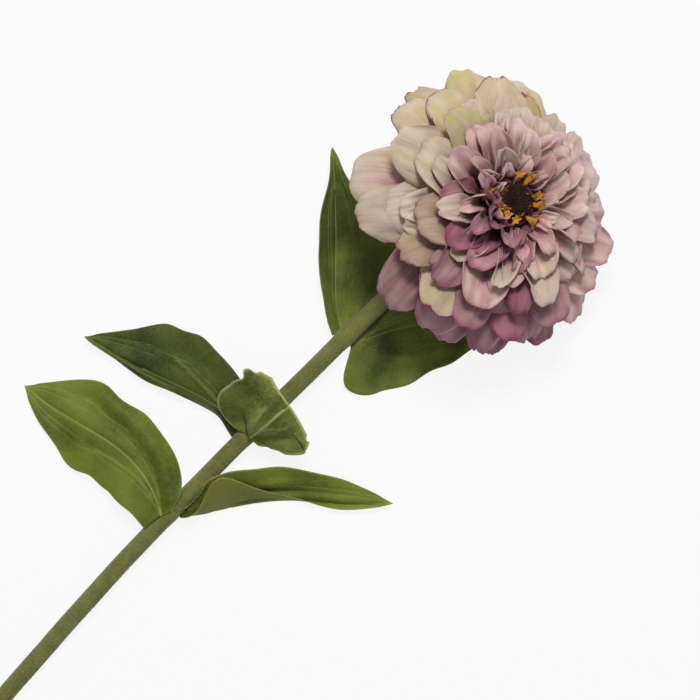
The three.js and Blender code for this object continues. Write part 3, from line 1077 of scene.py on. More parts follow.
@dataclass(frozen=True)
class Folds:
    """The fine folds of one petal: depths in millimetres, shares of its size, and where its groove runs."""

    pleat: float = 0.0
    groove: float = 0.0
    offset: float = 0.0
    roll: float = 0.0
    turned: float = 0.0
    crimp: float = 0.0
    lobe: float = 0.0
    crumple: float = 0.0
    start: float = 0.0
    rib: float = 0.0
    rim: float = 0.0

    @classmethod
    def drawn(cls, rng: np.random.Generator) -> Folds:
        """Draws one petal's folds.

        Args:
            rng: the source of the draws.

        Returns:
            The folds.
        """
        return cls(
            pleat=rng.uniform(0.2, 0.65),
            groove=rng.uniform(-1.6, 0.6),
            offset=rng.uniform(-0.35, 0.35),
            roll=rng.uniform(-0.3, 2.0),
            turned=rng.choice([0.0, 0.0, 0.25, 0.5]),
            crimp=rng.uniform(0.0, 0.5),
            lobe=rng.uniform(0.0, 0.02),
            crumple=rng.uniform(0.3, 0.85),
            start=rng.uniform(0.0, 6.28),
            rib=rng.uniform(0.05, 0.15),
            rim=rng.uniform(0.0, 0.17),
        )


@dataclass
class Petal:
    """One ray petal: where it springs from the core, how it arches and how its blade is shaped.

    Lengths are in millimetres and angles in radians; cup, wave and notch shape the blade across and at its
    tip, and phase says where its ripples start.
    """

    bearing: float
    length: float
    half_width: float
    height: float
    rise: float
    droop: float
    cup: float
    twist: float
    sway: float
    wave: float
    phase: float
    notch: float
    radius: float
    tint: Tint = Tint.PINK
    fine: Folds = Folds()

    RIB_MM = 3.1
    CLAW_SHARE = 0.2
    SHOULDER = 0.62
    TIP_SHARE = 0.9
    TIP_ROUND = 0.25
    TEETH = 25
    GROOVE_SHARE = 0.2
    ROLL_START = 0.72
    FULL_FOLD_MM = 6

    def width(self, u: Array) -> Array:
        """Half width at share u of the length."""
        spread = self.CLAW_SHARE + (1 - self.CLAW_SHARE) * smoothstep(u, 0, self.SHOULDER)
        return self.half_width * spread * (1 - (1 - self.TIP_SHARE) * smoothstep(u, self.SHOULDER, 1))

    def ribs(self, v: Array) -> Array:
        """A wave across the blade, 1 on each lengthwise rib and -1 in the furrows between."""
        return np.cos(2 * np.pi * (v * self.half_width / self.RIB_MM + 0.35 * np.sin(2.3 * v + self.phase)))

    def folds(self, u: Array, v: Array, half: Array) -> Array:
        """How far the blade is lifted by its fine folds.

        Args:
            u: share of the length, from root to tip.
            v: -1 to 1 across the blade.
            half: half width there.

        Returns:
            The lift in millimetres: pleats, a groove, a crimped and crumpled blade, a rolled tip, a turned
            margin, ribs and a raised rim.
        """
        fine, phase, start = self.fine, self.phase, self.fine.start
        middle = np.sin(np.pi * np.clip(u, 0, 1)) ** 0.7
        pleats = fine.pleat * (np.cos(2.6 * np.pi * v + phase) + 0.6 * np.cos(5.3 * v - 2 * phase)) * middle
        furrow = np.exp(-(((v - fine.offset) / self.GROOVE_SHARE) ** 2))
        groove = fine.groove * furrow * np.sin(np.pi * np.clip(u * 0.85, 0, 1))
        crimp = fine.crimp * np.sin(9 * v + 2 * phase) * smoothstep(u, 0.7, 1.0)
        crumpled = fine.crumple * (
            np.sin(8 * u + 3.1 * v + start) * np.sin(4.3 * v - 2.7 * u + 2 * start)
            + 0.45 * np.sin(17 * u - 6 * v + 3 * start) * np.sin(9 * v + 5 * u)
        )
        rolled = -fine.roll * self.length * np.clip(u - self.ROLL_START, 0, 1) ** 2 * (1 - 0.3 * v * v)
        turning = np.clip(v * np.sign(fine.offset + 1e-6), 0, 1) ** 3
        turned = fine.turned * half * turning * smoothstep(u, 0.2, 0.8)
        ribs = fine.rib * self.ribs(v) * smoothstep(u, 0.05, 0.3) * (1 - 0.7 * smoothstep(u, 0.6, 1.0))
        near_rim = (np.clip(np.abs(v) - 0.4, 0, 1) / 0.6) ** 2
        rim = fine.rim * half * near_rim * np.sign(self.cup) * smoothstep(u, 0.2, 0.6)
        folded = pleats + groove + crimp + crumpled * smoothstep(u, 0.15, 0.5)
        return folded * np.minimum(1, half / self.FULL_FOLD_MM) + rolled + turned + ribs + rim

    def surface(self, frame: BloomFrame, u: Array, v: Array) -> Array:
        """Points of the blade's middle surface.

        Args:
            frame: the bloom's frame.
            u: share of the length, from root to tip.
            v: -1 to 1 across the blade.

        Returns:
            The points in millimetres.
        """
        lobes = self.fine.lobe * np.cos(3 * np.pi * v + self.phase) * (1 - v * v)
        lobes = lobes + 0.4 * self.fine.lobe * np.cos(self.TEETH * v + 2.7 * self.phase)
        share = u * (1 - (self.TIP_ROUND * np.abs(v) ** 3 + self.notch * (1 - np.abs(v)) + lobes) * u**3)
        turn = self.droop - self.rise
        out, up = arc(self.rise, turn, share)
        slope = self.rise + turn * share
        half = self.width(u)
        across, lift = arc(0.0, self.cup, np.abs(v))
        side = half * across * np.sign(v)
        waves = self.wave * v * v * np.sin(self.phase + 5 * u) * u
        raised = half * lift + waves + self.folds(u, v, half)
        roll = self.twist * u
        sideways = side * np.cos(roll) - raised * np.sin(roll)
        normal = side * np.sin(roll) + raised * np.cos(roll)
        radius = self.radius + self.length * out - normal * np.sin(slope)
        height = self.height + self.length * up + normal * np.cos(slope)
        bearing = self.bearing + self.sway * share * share
        sideways_way = frame.point(1.0, bearing + np.pi / 2, 0.0) - np.array(frame.centre)
        return frame.point(radius, bearing, height) + sideways_way * sideways[..., None]


@dataclass
class Whorl:
    """A whorl of petals: what they share, and either a place for each or how many are spaced evenly.

    A place is (bearing in degrees, share of the whorl's length, half width). Every other petal rises and
    droops more, by lift degrees; loose multiplies how far they stray from the rule, and lean_in folds those
    near one bearing in over the disc.
    """

    length: float
    radius: float
    height: float
    rise: float
    droop: float
    lift: float
    cup: float
    tints: str
    rows: int
    columns: int
    places: tuple[tuple[float, float, float], ...] = ()
    count: int = 0
    start: float = 0.0
    half_width: float = 0.0
    loose: float = 1.0
    lean_in: float = 0.0

    LEAN_BEARING = 170.0
    STEP_UP = 1.2

    def spots(self) -> list[tuple[float, float, float]]:
        """Each petal's place, evenly spaced where none is given."""
        evenly = [(self.start + i * 360 / self.count, 1.0, self.half_width) for i in range(self.count)]
        return list(self.places) or evenly

    def petals(self, draw: Drawer) -> list[Petal]:
        """Makes the whorl's petals, with the draws in the same order as the solids'.

        Args:
            draw: the source of the draws.

        Returns:
            The petals, without their fine folds.
        """
        stray = 2 if self.places else 7
        loose = self.loose
        made = []
        for i, (bearing, reach, half_width) in enumerate(self.spots()):
            odd = i % 2
            fold = self.lean_in * max(0.0, math.cos(math.radians(bearing - self.LEAN_BEARING)))
            made.append(
                Petal(
                    bearing=math.radians(bearing + draw(-stray, stray)),
                    length=self.length * reach * draw(1 - 0.03 * loose, 1 + 0.03 * loose),
                    half_width=half_width * draw(0.95, 1.08),
                    height=self.height + odd * self.STEP_UP,
                    rise=math.radians(self.rise + odd * self.lift + draw(-3, 3) * loose + 0.3 * fold),
                    droop=math.radians(self.droop + odd * self.lift + draw(-6, 6) * loose + fold),
                    cup=self.cup + draw(-0.15, 0.15) * loose,
                    twist=math.radians(draw(-10, 10) * loose),
                    sway=math.radians(draw(-5, 5) * loose),
                    wave=half_width * draw(0.02, 0.1),
                    phase=draw(0, 2 * math.pi),
                    notch=0.03 * draw(0, 2),
                    radius=self.radius,
                    tint=TINTS[self.tints[i % len(self.tints)]],
                )
            )
        return made


# The whorls that the solids have too, from the outermost in.
WHORLS = (
    Whorl(
        length=48, radius=10, height=9, rise=6, droop=-34, lift=8, cup=-0.6,
        tints="ddkCClCCvcsrrrmrrppd", rows=34, columns=30,
        places=(
            (-10, 0.99, 12), (8, 0.93, 13.5), (33, 0.9, 11), (56, 0.97, 11), (70, 1.04, 10.5),
            (83, 1.08, 11.5), (97, 1, 12), (112, 0.94, 11.5), (149, 1, 15), (172, 0.97, 12),
            (203, 0.95, 13), (225, 0.97, 11.5), (240, 0.97, 10), (252, 1, 9.5), (264, 1, 10),
            (276, 0.99, 11), (291, 1.05, 10.5), (305, 1.08, 10.5), (319, 1.03, 11), (335, 0.96, 11),
        ),
    ),
    Whorl(
        length=39, radius=10, height=13, rise=20, droop=-22, lift=6, cup=-0.45,
        tints="dbkCCcvBCrmrppd", rows=30, columns=26,
        places=(
            (12, 0.96, 8.5), (32, 0.9, 9), (52, 0.97, 9.5), (76, 1.05, 11.5), (100, 1.04, 11.5),
            (134, 1.0, 11.5), (168, 0.97, 12), (193, 0.95, 10), (218, 1.04, 11.5), (238, 1.06, 10.5),
            (259, 1.08, 10), (286, 1.08, 11), (308, 1.1, 9.5), (325, 1.04, 9), (346, 0.97, 11),
        ),
    ),
    Whorl(
        length=32, radius=10, height=16, rise=33, droop=-12, lift=4, cup=0.2,
        tints="ddbvLlcBrprbpd", rows=28, columns=24,
        places=(
            (4, 1, 8.5), (28, 0.95, 8), (48, 0.92, 8.5), (72, 0.98, 8), (88, 1, 10), (109, 1.02, 9.5),
            (144, 1, 10), (182, 1.02, 10), (209, 1.02, 9), (231, 1.05, 11), (252, 1.05, 10),
            (278, 1.06, 9), (302, 1, 8.5), (337, 1, 9),
        ),
        loose=1.6,
    ),
    Whorl(
        length=26, radius=9.6, height=19, rise=46, droop=4, lift=4, cup=0.75,
        tints="dpdpprmrpbpd", rows=24, columns=20,
        count=12, start=14, half_width=7.8, loose=1.8,
    ),
    Whorl(
        length=18.5, radius=9.2, height=21.6, rise=58, droop=20, lift=0, cup=1.1,
        tints="dpddprmrppd", rows=20, columns=16,
        count=11, start=0, half_width=5.4, loose=2.0, lean_in=40,
    ),
    Whorl(
        length=12, radius=9.2, height=23.6, rise=66, droop=38, lift=0, cup=1.0,
        tints="pdpprmrpd", rows=16, columns=12,
        count=9, start=20, half_width=3.3, loose=2.0, lean_in=60,
    ),
)

# Narrow folded petals that fill the gaps between the whorls.
FILLERS = (
    Whorl(
        length=28, radius=9.6, height=18, rise=41, droop=-4, lift=6, cup=0.45,
        tints="cdvpcbcvpdc", rows=22, columns=16,
        count=11, start=18, half_width=5.8, loose=2.4,
    ),
    Whorl(
        length=33, radius=10, height=14.5, rise=26, droop=-14, lift=5, cup=-0.2,
        tints="dpbcvvcsrmrpd", rows=26, columns=20,
        count=13, start=22, half_width=6.6, loose=2.6,
    ),
    Whorl(
        length=21, radius=9.4, height=20.4, rise=50, droop=10, lift=6, cup=1.3,
        tints="pdppprmrppb", rows=20, columns=16,
        count=11, start=30, half_width=5.2, loose=3.0, lean_in=20,
    ),
    Whorl(
        length=13, radius=9.0, height=22.6, rise=60, droop=30, lift=6, cup=1.4,
        tints="dpdpprrpdpdb", rows=16, columns=12,
        count=13, start=8, half_width=3.2, loose=3.5, lean_in=50,
    ),
)


@dataclass
class Petals:
    """The ray petals on their core, as two pieces: the outer whorls, and the inner ones with the core."""

    frame: BloomFrame
    whorls: tuple[Whorl, ...] = WHORLS + FILLERS
    seed: int = 7
    outer_mm: float = 35.0
    thickness: float = 0.34
    thin_mm: float = 2.0
    band_mm: float = 3.6
    core: tuple[tuple[float, float], ...] = ((8, 6), (12.4, 9), (12.4, 14), (9.3, 22), (9.2, 27.2))
    core_sides: int = 48
    # The core's dark plum is painted shade, seen only in the gaps between the petals' claws.
    core_painted_shade: str = "5C3446"

    def dye(self, petal: Petal, u: Array, v: Array, margin: Array, rng: np.random.Generator) -> Array:
        """The colour of a petal at each point of its grid.

        Args:
            petal: the petal.
            u: share of the length.
            v: -1 to 1 across.
            margin: distance from the margin in millimetres.
            rng: the source of its own small difference in depth.

        Returns:
            Linear colours, claw to body to tip, with blots and a soft band along the outer margin.
        """
        dye, phase = petal.tint.value, petal.phase
        claw, body, tip, band, blot = (
            np.array(linear(shade)) for shade in (dye.claw, dye.body, dye.tip, dye.band, dye.blot)
        )
        clouds = np.sin(4.2 * v + 6 * u + 3 * phase) * np.sin(7 * u - 2.6 * v + phase)
        clouds = clouds + 0.35 * np.sin(11 * v - 8 * u + 5 * phase)
        width = min(self.band_mm, 0.6 * petal.half_width) * (1 + 0.35 * np.sin(5 * v + phase))
        made = claw
        for shade, share in (
            (body, smoothstep(u + 0.08 * np.cos(7 * v + phase), 0.1, 0.66)),
            (tip, smoothstep(u + 0.06 * np.cos(3 * v + phase), 0.55, 0.98)),
            (blot, dye.blotching * smoothstep(clouds, -0.1, 0.9) * smoothstep(u, 0.35, 0.7)),
            (band, dye.banding * (1 - smoothstep(margin, 0.0, width)) * smoothstep(u, 0.3, 0.75)),
        ):
            made = made + (shade - made) * share[..., None]
        made[..., :3] *= rng.uniform(0.85, 1.07)
        return made

    def blade(self, shell: Shell, petal: Petal, whorl: Whorl, rng: np.random.Generator) -> None:
        """Adds one petal to a piece.

        Args:
            shell: the piece.
            petal: the petal.
            whorl: its whorl, which says how fine its grid is.
            rng: the source of its own small difference in depth.
        """
        u, v = blade_grid(whorl.rows, whorl.columns)
        half_width = petal.width(u)
        margin = np.minimum((1 - np.abs(v)) * half_width, (1 - u) * petal.length)
        dye = petal.tint.value
        near_claw = 1 - 0.85 * smoothstep(u, 0.3, 0.95)
        shell.add_blade(
            petal.surface(self.frame, u, v),
            self.thickness / 2 * (0.45 + 0.55 * smoothstep(margin, 0.0, self.thin_mm)),
            {
                "dye": self.dye(petal, u, v, margin, rng),
                "margin_mm": margin,
                "edging": dye.edging * smoothstep(u, 0.76, 0.95),
                "streaking": dye.streaking * near_claw * (0.75 - 0.35 * petal.ribs(v)),
                # The phase moves each petal to veins of its own.
                "rib_mm": v * half_width + 40 * petal.phase,
                "along_mm": u * petal.length,
            },
        )

    def add_core(self, shell: Shell) -> None:
        """Adds the solid core that the petals spring from, dark plum as painted shade for the gaps between
        their claws.

        Args:
            shell: the piece that it becomes part of.
        """
        plain = {"margin_mm": 9.0, "edging": 0.0, "streaking": 0.0, "rib_mm": 0.0, "along_mm": 0.0}
        solid = self.frame.turned_solid(self.core, self.core_sides)
        shell.add_solid(*solid, {"dye": linear(self.core_painted_shade), **plain})

    def build(self, place: Place) -> list[bpy.types.Object]:
        """Makes both pieces.

        Args:
            place: moves millimetres into the frame.

        Returns:
            The outer petals and the inner petals.
        """
        outer, inner = Shell("bloom_petals_outer"), Shell("bloom_petals_inner")
        draw, rng = Drawer(self.seed), np.random.default_rng(self.seed)
        for whorl in self.whorls:
            for petal in whorl.petals(draw):
                shell = outer if whorl.length > self.outer_mm else inner
                self.blade(shell, replace(petal, fine=Folds.drawn(rng)), whorl, rng)
        self.add_core(inner)
        return [outer.build(place), inner.build(place)]


# ---- leaves ----


@dataclass
class Station:
    """A station on a leaf's midrib: where it is, and what each half of the blade is like there.

    A half is its width, the angle at which it rises from the midrib, how much further it curls by the margin
    and how far its lobe is swept back.
    """

    at: tuple[float, float, float]
    left: tuple[float, float, float, float]
    right: tuple[float, float, float, float]


def station(at: Sequence[float], left: Sequence[float], right: Sequence[float]) -> Station:
    """A station with the sweep left out where it is nothing."""
    full = [tuple([*half, 0.0][:4]) for half in (left, right)]
    return Station(tuple(at), full[0], full[1])


@dataclass(frozen=True)
class Crease:
    """A fold or raised vein that runs straight over a blade, from one (u, v) to another."""

    start: tuple[float, float]
    end: tuple[float, float]
    height: float
    width_mm: float
    pale: bool = False

    def away(self, u: Array, v: Array, width: Array) -> Array:
        """How far each point is from the crease, in millimetres across the blade."""
        share = np.clip((u - self.start[0]) / (self.end[0] - self.start[0]), 0, 1)
        return np.abs(v - self.start[1] - (self.end[1] - self.start[1]) * share) * width

    def active(self, u: Array) -> Array:
        """1 between the crease's ends, fading beyond them."""
        first, last = self.start[0], self.end[0]
        return smoothstep(u, first - 0.06, first) * (1 - smoothstep(u, last - 0.1, last))


@dataclass
class Leaf:
    """One leaf blade on its stations from base to tip, in millimetres.

    Ripple, swell, flare and lip lift the blade at its margin, between its veins, along its far margin and at
    its far end; side gives the way across the blade where it isn't level.
    """

    name: str
    node: str
    ripple: float
    stations: tuple[Station, ...]
    side: tuple[float, float, float] | None = None
    # Which skin it takes: painted lit or painted shade.
    age: LeafPaintedLight = LeafPaintedLight.PAINTED_SHADE
    swell: float = 0.7
    rows: int = 90
    columns: int = 44
    thickness: float = 0.55
    side_veins: tuple[float, float] = (0.46, 0.3)
    side_depth: float = 0.26
    scallop: float = 0.03
    flare: float = 0.0
    lip: float = 0.0
    pointed: bool = True
    creases: tuple[Crease, ...] = ()

    RIB_DEPTH = 0.42
    RIB_MM = 0.75
    VEIN_MM = 0.7
    QUILT_DEPTH = 0.22
    THIN_MM = 3.0
    POINT_SHARE = 0.05
    POINT_WIDTH = 0.12
    FINE_VEIN_MM = 11.0
    FINE_VEIN_SLANT = 0.9

    def midrib(self, u: Array) -> Array:
        """Points of the midrib at shares u of the length."""
        return np.stack([spline([s.at[n] for s in self.stations], u) for n in range(3)], -1)

    def halves(self, u: Array, v: Array) -> list[Array]:
        """Reads the stations' four numbers for whichever half each point is on.

        Args:
            u: share of the length, from base to tip.
            v: -1 to 1 across the blade, left above zero.

        Returns:
            Width, rise and curl in degrees, and sweep at each point.
        """
        return [
            np.where(
                v < 0,
                spline([s.right[n] for s in self.stations], u),
                spline([s.left[n] for s in self.stations], u),
            )
            for n in range(4)
        ]

    def surface(self, u: Array, v: Array) -> tuple[Array, Array]:
        """Points of the blade's middle surface.

        Args:
            u: share of the length, from base to tip.
            v: -1 to 1 across the blade, left above zero.

        Returns:
            The points, and the half width at each.
        """
        right_half = v < 0
        step = 0.02
        ahead = self.midrib(np.minimum(u + step, 1)) - self.midrib(np.maximum(u - step, 0))
        ahead /= np.linalg.norm(ahead, axis=-1, keepdims=True)
        hint = np.broadcast_to(self.side, ahead.shape) if self.side else np.cross([0.0, 0.0, 1.0], ahead)
        side = hint - ahead * np.sum(hint * ahead, -1, keepdims=True)
        side /= np.linalg.norm(side, axis=-1, keepdims=True)
        normal = np.cross(ahead, side)
        width, rise, curl, sweep = self.halves(u, v)
        scallops = np.sin(17 * u + np.where(right_half, 1.0, 3.4))
        scallops = scallops + 0.6 * np.sin(29 * u + np.where(right_half, 0.4, 2.1))
        width = width * (1 + self.scallop * scallops * np.sin(np.pi * u))
        if self.pointed:
            taper = np.sqrt(np.clip((1 - u) / self.POINT_SHARE, 0, 1))
            width = width * (self.POINT_WIDTH + (1 - self.POINT_WIDTH) * taper)
        out, up = arc(np.radians(rise), np.radians(curl), np.abs(v))
        ripple = self.ripple * v * v * np.sin(15 * u + np.where(right_half, 1.6, 0)) * np.sin(np.pi * u)
        flare = self.flare * (np.clip(np.abs(v) - 0.86, 0, 1) / 0.14) ** 2
        flare = flare * smoothstep(u, 0.4, 0.7) * (1 - smoothstep(u, 0.93, 1.0))
        lip = self.lip * (np.clip(u - 0.9, 0, 1) / 0.1) ** 2
        lift = width * up + ripple + self.quilting(u, v, width) + flare + lip
        points = (
            self.midrib(u)
            + side * (width * out * np.where(right_half, -1, 1))[..., None]
            + normal * lift[..., None]
            - ahead * (sweep * v * v)[..., None]
        )
        return points, width

    def vein_paths(self, u: Array) -> list[Array]:
        """Where each pair of side veins runs, as a share of the half width."""
        along = np.clip(u / 0.5, 0, 1) ** 0.6 * (1 + 0.5 * smoothstep(u, 0.6, 1.0))
        return [reach * along for reach in self.side_veins]

    def quilting(self, u: Array, v: Array, width: Array) -> Array:
        """How far the blade is pressed down along its ribs and swells between them.

        Args:
            u: share of the length, from base to tip.
            v: -1 to 1 across the blade.
            width: half width there.

        Returns:
            The lift in millimetres.
        """
        rib = -self.RIB_DEPTH * np.exp(-((v * width / self.RIB_MM) ** 2))
        veins = sum(
            -self.side_depth * np.exp(-(((np.abs(v) - path) * width / self.VEIN_MM) ** 2))
            for path in self.vein_paths(u)
        )
        quilt = self.QUILT_DEPTH * np.sin(np.pi * np.clip(np.abs(v), 0, 1)) ** 2
        waves = self.swell * np.sin(9.5 * u + 2.2 * v + len(self.name)) * np.sin(2.4 * v + 3.1 * u + 0.5)
        fade = smoothstep(u, 0.0, 0.12) * (1 - smoothstep(u, 0.82, 1.0))
        folds = sum(
            c.height * np.exp(-((c.away(u, v, width) / c.width_mm) ** 2)) * c.active(u) for c in self.creases
        )
        return (rib + veins + quilt + waves) * fade + folds

    def build(self, place: Place, stem: Stem) -> bpy.types.Object:
        """Makes the piece.

        Args:
            place: moves millimetres into the frame.
            stem: the stem, which the leaf's base is pressed against.

        Returns:
            The blade.
        """
        u, v = blade_grid(self.rows, self.columns)
        middle, width = self.surface(u, v)
        middle = stem.push_out(middle, self.thickness / 2 - 0.1)
        length = np.linalg.norm(np.diff(np.array([s.at for s in self.stations]), axis=0), axis=1).sum()
        margin = np.minimum((1 - np.abs(v)) * width, (1 - u) * length)
        half = self.thickness / 2 * (0.5 + 0.5 * smoothstep(margin, 0.0, self.THIN_MM))
        near = np.min(
            [np.abs(np.abs(v) - path) * width for path in self.vein_paths(u)]
            + [c.away(u, v, width) * 0.5 + 2 * (1 - c.active(u)) for c in self.creases if c.pale],
            axis=0,
        )
        slant = u * length - self.FINE_VEIN_SLANT * np.abs(v) * width
        shell = Shell(self.name)
        shell.add_blade(
            middle,
            half,
            {
                "rib_mm": v * width,
                "vein_mm": near,
                "margin_mm": margin,
                "along_mm": u * length,
                "side_vein": np.cos(slant * 2 * np.pi / self.FINE_VEIN_MM) * (0.5 + 0.5 * np.abs(v)),
            },
        )
        return shell.build(place)


# The leaves, their stations given along the stem, to its left and above the surface.
LEAVES = (
    Leaf(
        "low_left_leaf",
        "leaf_low_left",
        ripple=1.0,
        stations=(
            station((152.5, 8.2, 9.1), (8, -4, -20, 3), (4, 0, 0)),
            station((157.1, 18.2, 9.4), (12.3, -6, 0, 2), (12.5, 12, -24, 2)),
            station((159.6, 29, 8.6), (15.2, -8, -6), (15.4, 18, -44)),
            station((158.9, 41, 7), (16, -10, -4), (16.8, 14, -44)),
            station((156, 54, 4.2), (14.5, -6, 0), (18, 6, -24)),
            station((152.8, 67.5, 1.8), (8, -4, 4), (12.5, 0, -8)),
            station((151.4, 80.6, 0.8), (0.8, 0, 0), (0.8, 0, 0)),
        ),
        age=LeafPaintedLight.PAINTED_LIT,
        scallop=0.045,
        side_depth=0.12,
        creases=(
            Crease((0.05, -0.12), (0.8, -0.6), -2.2, 3.2),
            Crease((0.1, -0.5), (0.7, -0.85), 0.9, 2.4),
            Crease((0.12, 0.08), (0.7, 0.5), 0.2, 0.7, pale=True),
        ),
    ),
    Leaf(
        "low_right_leaf",
        "leaf_low_right",
        ripple=0.7,
        stations=(
            station((157, 3.6, 4.6), (4, 20, 0), (2, 60, 10)),
            station((163, -2.2, 2), (10.5, 36, -20), (9, 112, 20)),
            station((171.3, -7.6, 0.9), (16.2, 42, -16), (17, 124, 24)),
            station((181.5, -14.8, 0.6), (15.7, 38, -14), (8.8, 118, 24)),
            station((191.5, -24, 0.6), (13.5, 32, -10), (3.4, 100, 16)),
            station((204, -39.5, 1), (9.8, 16, -6), (2.2, 30, 0)),
            station((217, -52, 4), (0.8, 0, 0), (0.8, 0, 0)),
        ),
        age=LeafPaintedLight.PAINTED_LIT,
        creases=(
            Crease((0.1, 0.1), (0.7, 0.6), 1.2, 2.2),
            Crease((0.35, 0.5), (0.75, 0.15), -1.8, 2.4),
            Crease((0.4, 0.05), (0.95, 0.25), 1.0, 1.6),
        ),
    ),
    Leaf(
        "middle_left_leaf",
        "leaf_middle_left",
        ripple=0.9,
        stations=(
            station((196, 7.8, 6), (4, -20, 0), (4, 0, 0)),
            station((197.2, 18.4, 7.6), (5, -58, 0), (12.5, 8, -10)),
            station((195.5, 29, 7.8), (5.5, -60, 10), (17.2, 12, -20)),
            station((192, 40, 7), (5, -50, 10), (20.6, 10, -24)),
            station((188, 51.5, 5.6), (4, -34, 10), (19.6, 4, -16)),
            station((184.4, 64, 4.4), (1.8, -10, 0), (10.5, 0, -6)),
            station((181, 77, 5), (0.7, 0, 0), (0.7, 0, 0)),
        ),
        creases=(
            Crease((0.12, 0.0), (0.62, -0.5), 0.9, 1.0, pale=True),
            Crease((0.06, -0.3), (0.3, -0.62), 0.9, 1.0, pale=True),
            Crease((0.3, -0.6), (0.9, -0.5), -1.0, 3.2),
        ),
    ),
    Leaf(
        "middle_hood_leaf",
        "leaf_middle_hood",
        ripple=1.6,
        stations=(
            station((197.5, 4.8, 8.6), (5, 20, 0), (4, 0, 0)),
            station((199.5, 4.4, 13), (18, 8, -20, 5.5), (9.5, -10, -10, 3)),
            station((204, 3.8, 18), (21.4, 0, -30, 4.5), (14, -12, -16, 3.5)),
            station((209.5, 3.2, 20.6), (22.8, -8, -34, 1), (18.8, -12, -20, 1)),
            station((213.2, 2.8, 20.2), (21.2, -6, -24, -2.5), (17.6, -10, -18)),
            station((215, 2.4, 18.4), (17.5, 2, -4, -4), (16, -8, -18, -2)),
            station((215.6, 2.2, 15.8), (13, 4, 4, -4), (13, -8, -16, -3)),
        ),
        side=(0.05, 1, 0),
        age=LeafPaintedLight.HOOD_PAINTED_LIT,
        swell=1.3,
        scallop=0.05,
        creases=(
            Crease((0.1, 0.42), (0.95, 0.6), -3.0, 3.4),
            Crease((0.1, 0.12), (0.85, 0.26), 2.0, 2.6),
            Crease((0.1, -0.4), (0.95, -0.7), -2.2, 2.8),
            Crease((0.14, 0.05), (0.62, 0.3), 0.8, 0.7, pale=True),
            Crease((0.3, -0.02), (0.62, -0.45), 0.6, 0.7, pale=True),
            Crease((0.05, 0.0), (0.8, 0.0), 1.0, 1.0, pale=True),
        ),
        flare=0.8,
        lip=1.2,
        pointed=False,
    ),
    Leaf(
        "top_left_leaf",
        "leaf_top_left",
        ripple=0.8,
        stations=(
            station((250, 7, 2.8), (4, 20, 10), (5, -8, 0)),
            station((257, 17, 1.5), (7.4, 44, 20), (16, -6, 6)),
            station((265.5, 25.5, 1.7), (9, 40, 16), (22.5, -7, 4)),
            station((274.5, 34, 2.8), (9, 40, 10), (22.5, -9, 6)),
            station((283, 42.5, 4.8), (6.4, 34, 10), (15, -10, 12)),
            station((291, 50.5, 8.4), (2.2, 24, 0), (5.2, -4, 30)),
            station((298.5, 58.8, 11.6), (0.8, 0, 0), (0.8, 0, 0)),
        ),
        creases=(
            Crease((0.1, -0.3), (0.95, -0.3), -0.8, 1.8),
            Crease((0.1, -0.62), (0.95, -0.6), 0.8, 2.0),
        ),
        age=LeafPaintedLight.UPPER,
    ),
    Leaf(
        "top_right_leaf",
        "leaf_top_right",
        ripple=0.9,
        stations=(
            station((250, 2.8, 4.6), (2.2, 0, 0), (2.2, 0, 0)),
            station((256, -1.5, 3.4), (7, 14, -10, 2), (17.5, -13, 10, 12.5)),
            station((263, -5, 2.4), (10, 16, -16), (21.5, -12, 8, 8)),
            station((271.5, -10.5, 1.9), (11, 14, -14), (20.8, -10, 6, 2)),
            station((281, -18.5, 1.6), (11, 8, -10), (16.5, -8, 2)),
            station((289.5, -27.5, 2.2), (7, 4, 0), (9, -6, 0)),
            station((297, -37, 2), (0.8, 0, 0), (0.8, 0, 0)),
        ),
        creases=(Crease((0.15, -0.2), (0.9, -0.45), -1.0, 2.4), Crease((0.3, -0.5), (0.9, -0.8), 0.8, 2.4)),
        age=LeafPaintedLight.UPPER,
    ),
)


# ---- the bloom's middle ----


@dataclass
class Calyx:
    """The cup of overlapping green bracts that the bloom sits in.

    A row is (count, radius, height, length, rise and droop in degrees, half width).
    """

    frame: BloomFrame
    rows: tuple[tuple[int, float, float, float, float, float, float], ...] = (
        (8, 4.5, -4.4, 8.5, 50, 35, 3.6),
        (9, 6.5, -1.0, 7.4, 42, 30, 3.6),
    )
    cup: tuple[tuple[float, float], ...] = ((4.2, -6.0), (7.6, -2), (9.5, 3), (9.5, 5.7))
    cup_sides: int = 48
    thickness: float = 0.5
    thin_mm: float = 1.5

    def build(self, place: Place) -> bpy.types.Object:
        """Makes the piece.

        Args:
            place: moves millimetres into the frame.

        Returns:
            The cup with its bracts.
        """
        shell = Shell("bloom_calyx")
        u, v = blade_grid(10, 8)
        for k, (count, radius, height, length, rise, droop, half_width) in enumerate(self.rows):
            thinning = smoothstep((1 - np.abs(v)) * half_width, 0.0, self.thin_mm)
            half = self.thickness / 2 * (0.5 + 0.5 * thinning)
            for i in range(count):
                bract = Petal(
                    bearing=(i + 0.5 * k) * 2 * math.pi / count,
                    length=length,
                    half_width=half_width,
                    height=height,
                    rise=math.radians(rise),
                    droop=math.radians(droop),
                    cup=0.5,
                    twist=0,
                    sway=0,
                    wave=0,
                    phase=0.3 * i,
                    notch=-0.1,
                    radius=radius,
                )
                shell.add_blade(bract.surface(self.frame, u, v), half, {})
        shell.add_solid(*self.frame.turned_solid(self.cup, self.cup_sides), {})
        return shell.build(place)


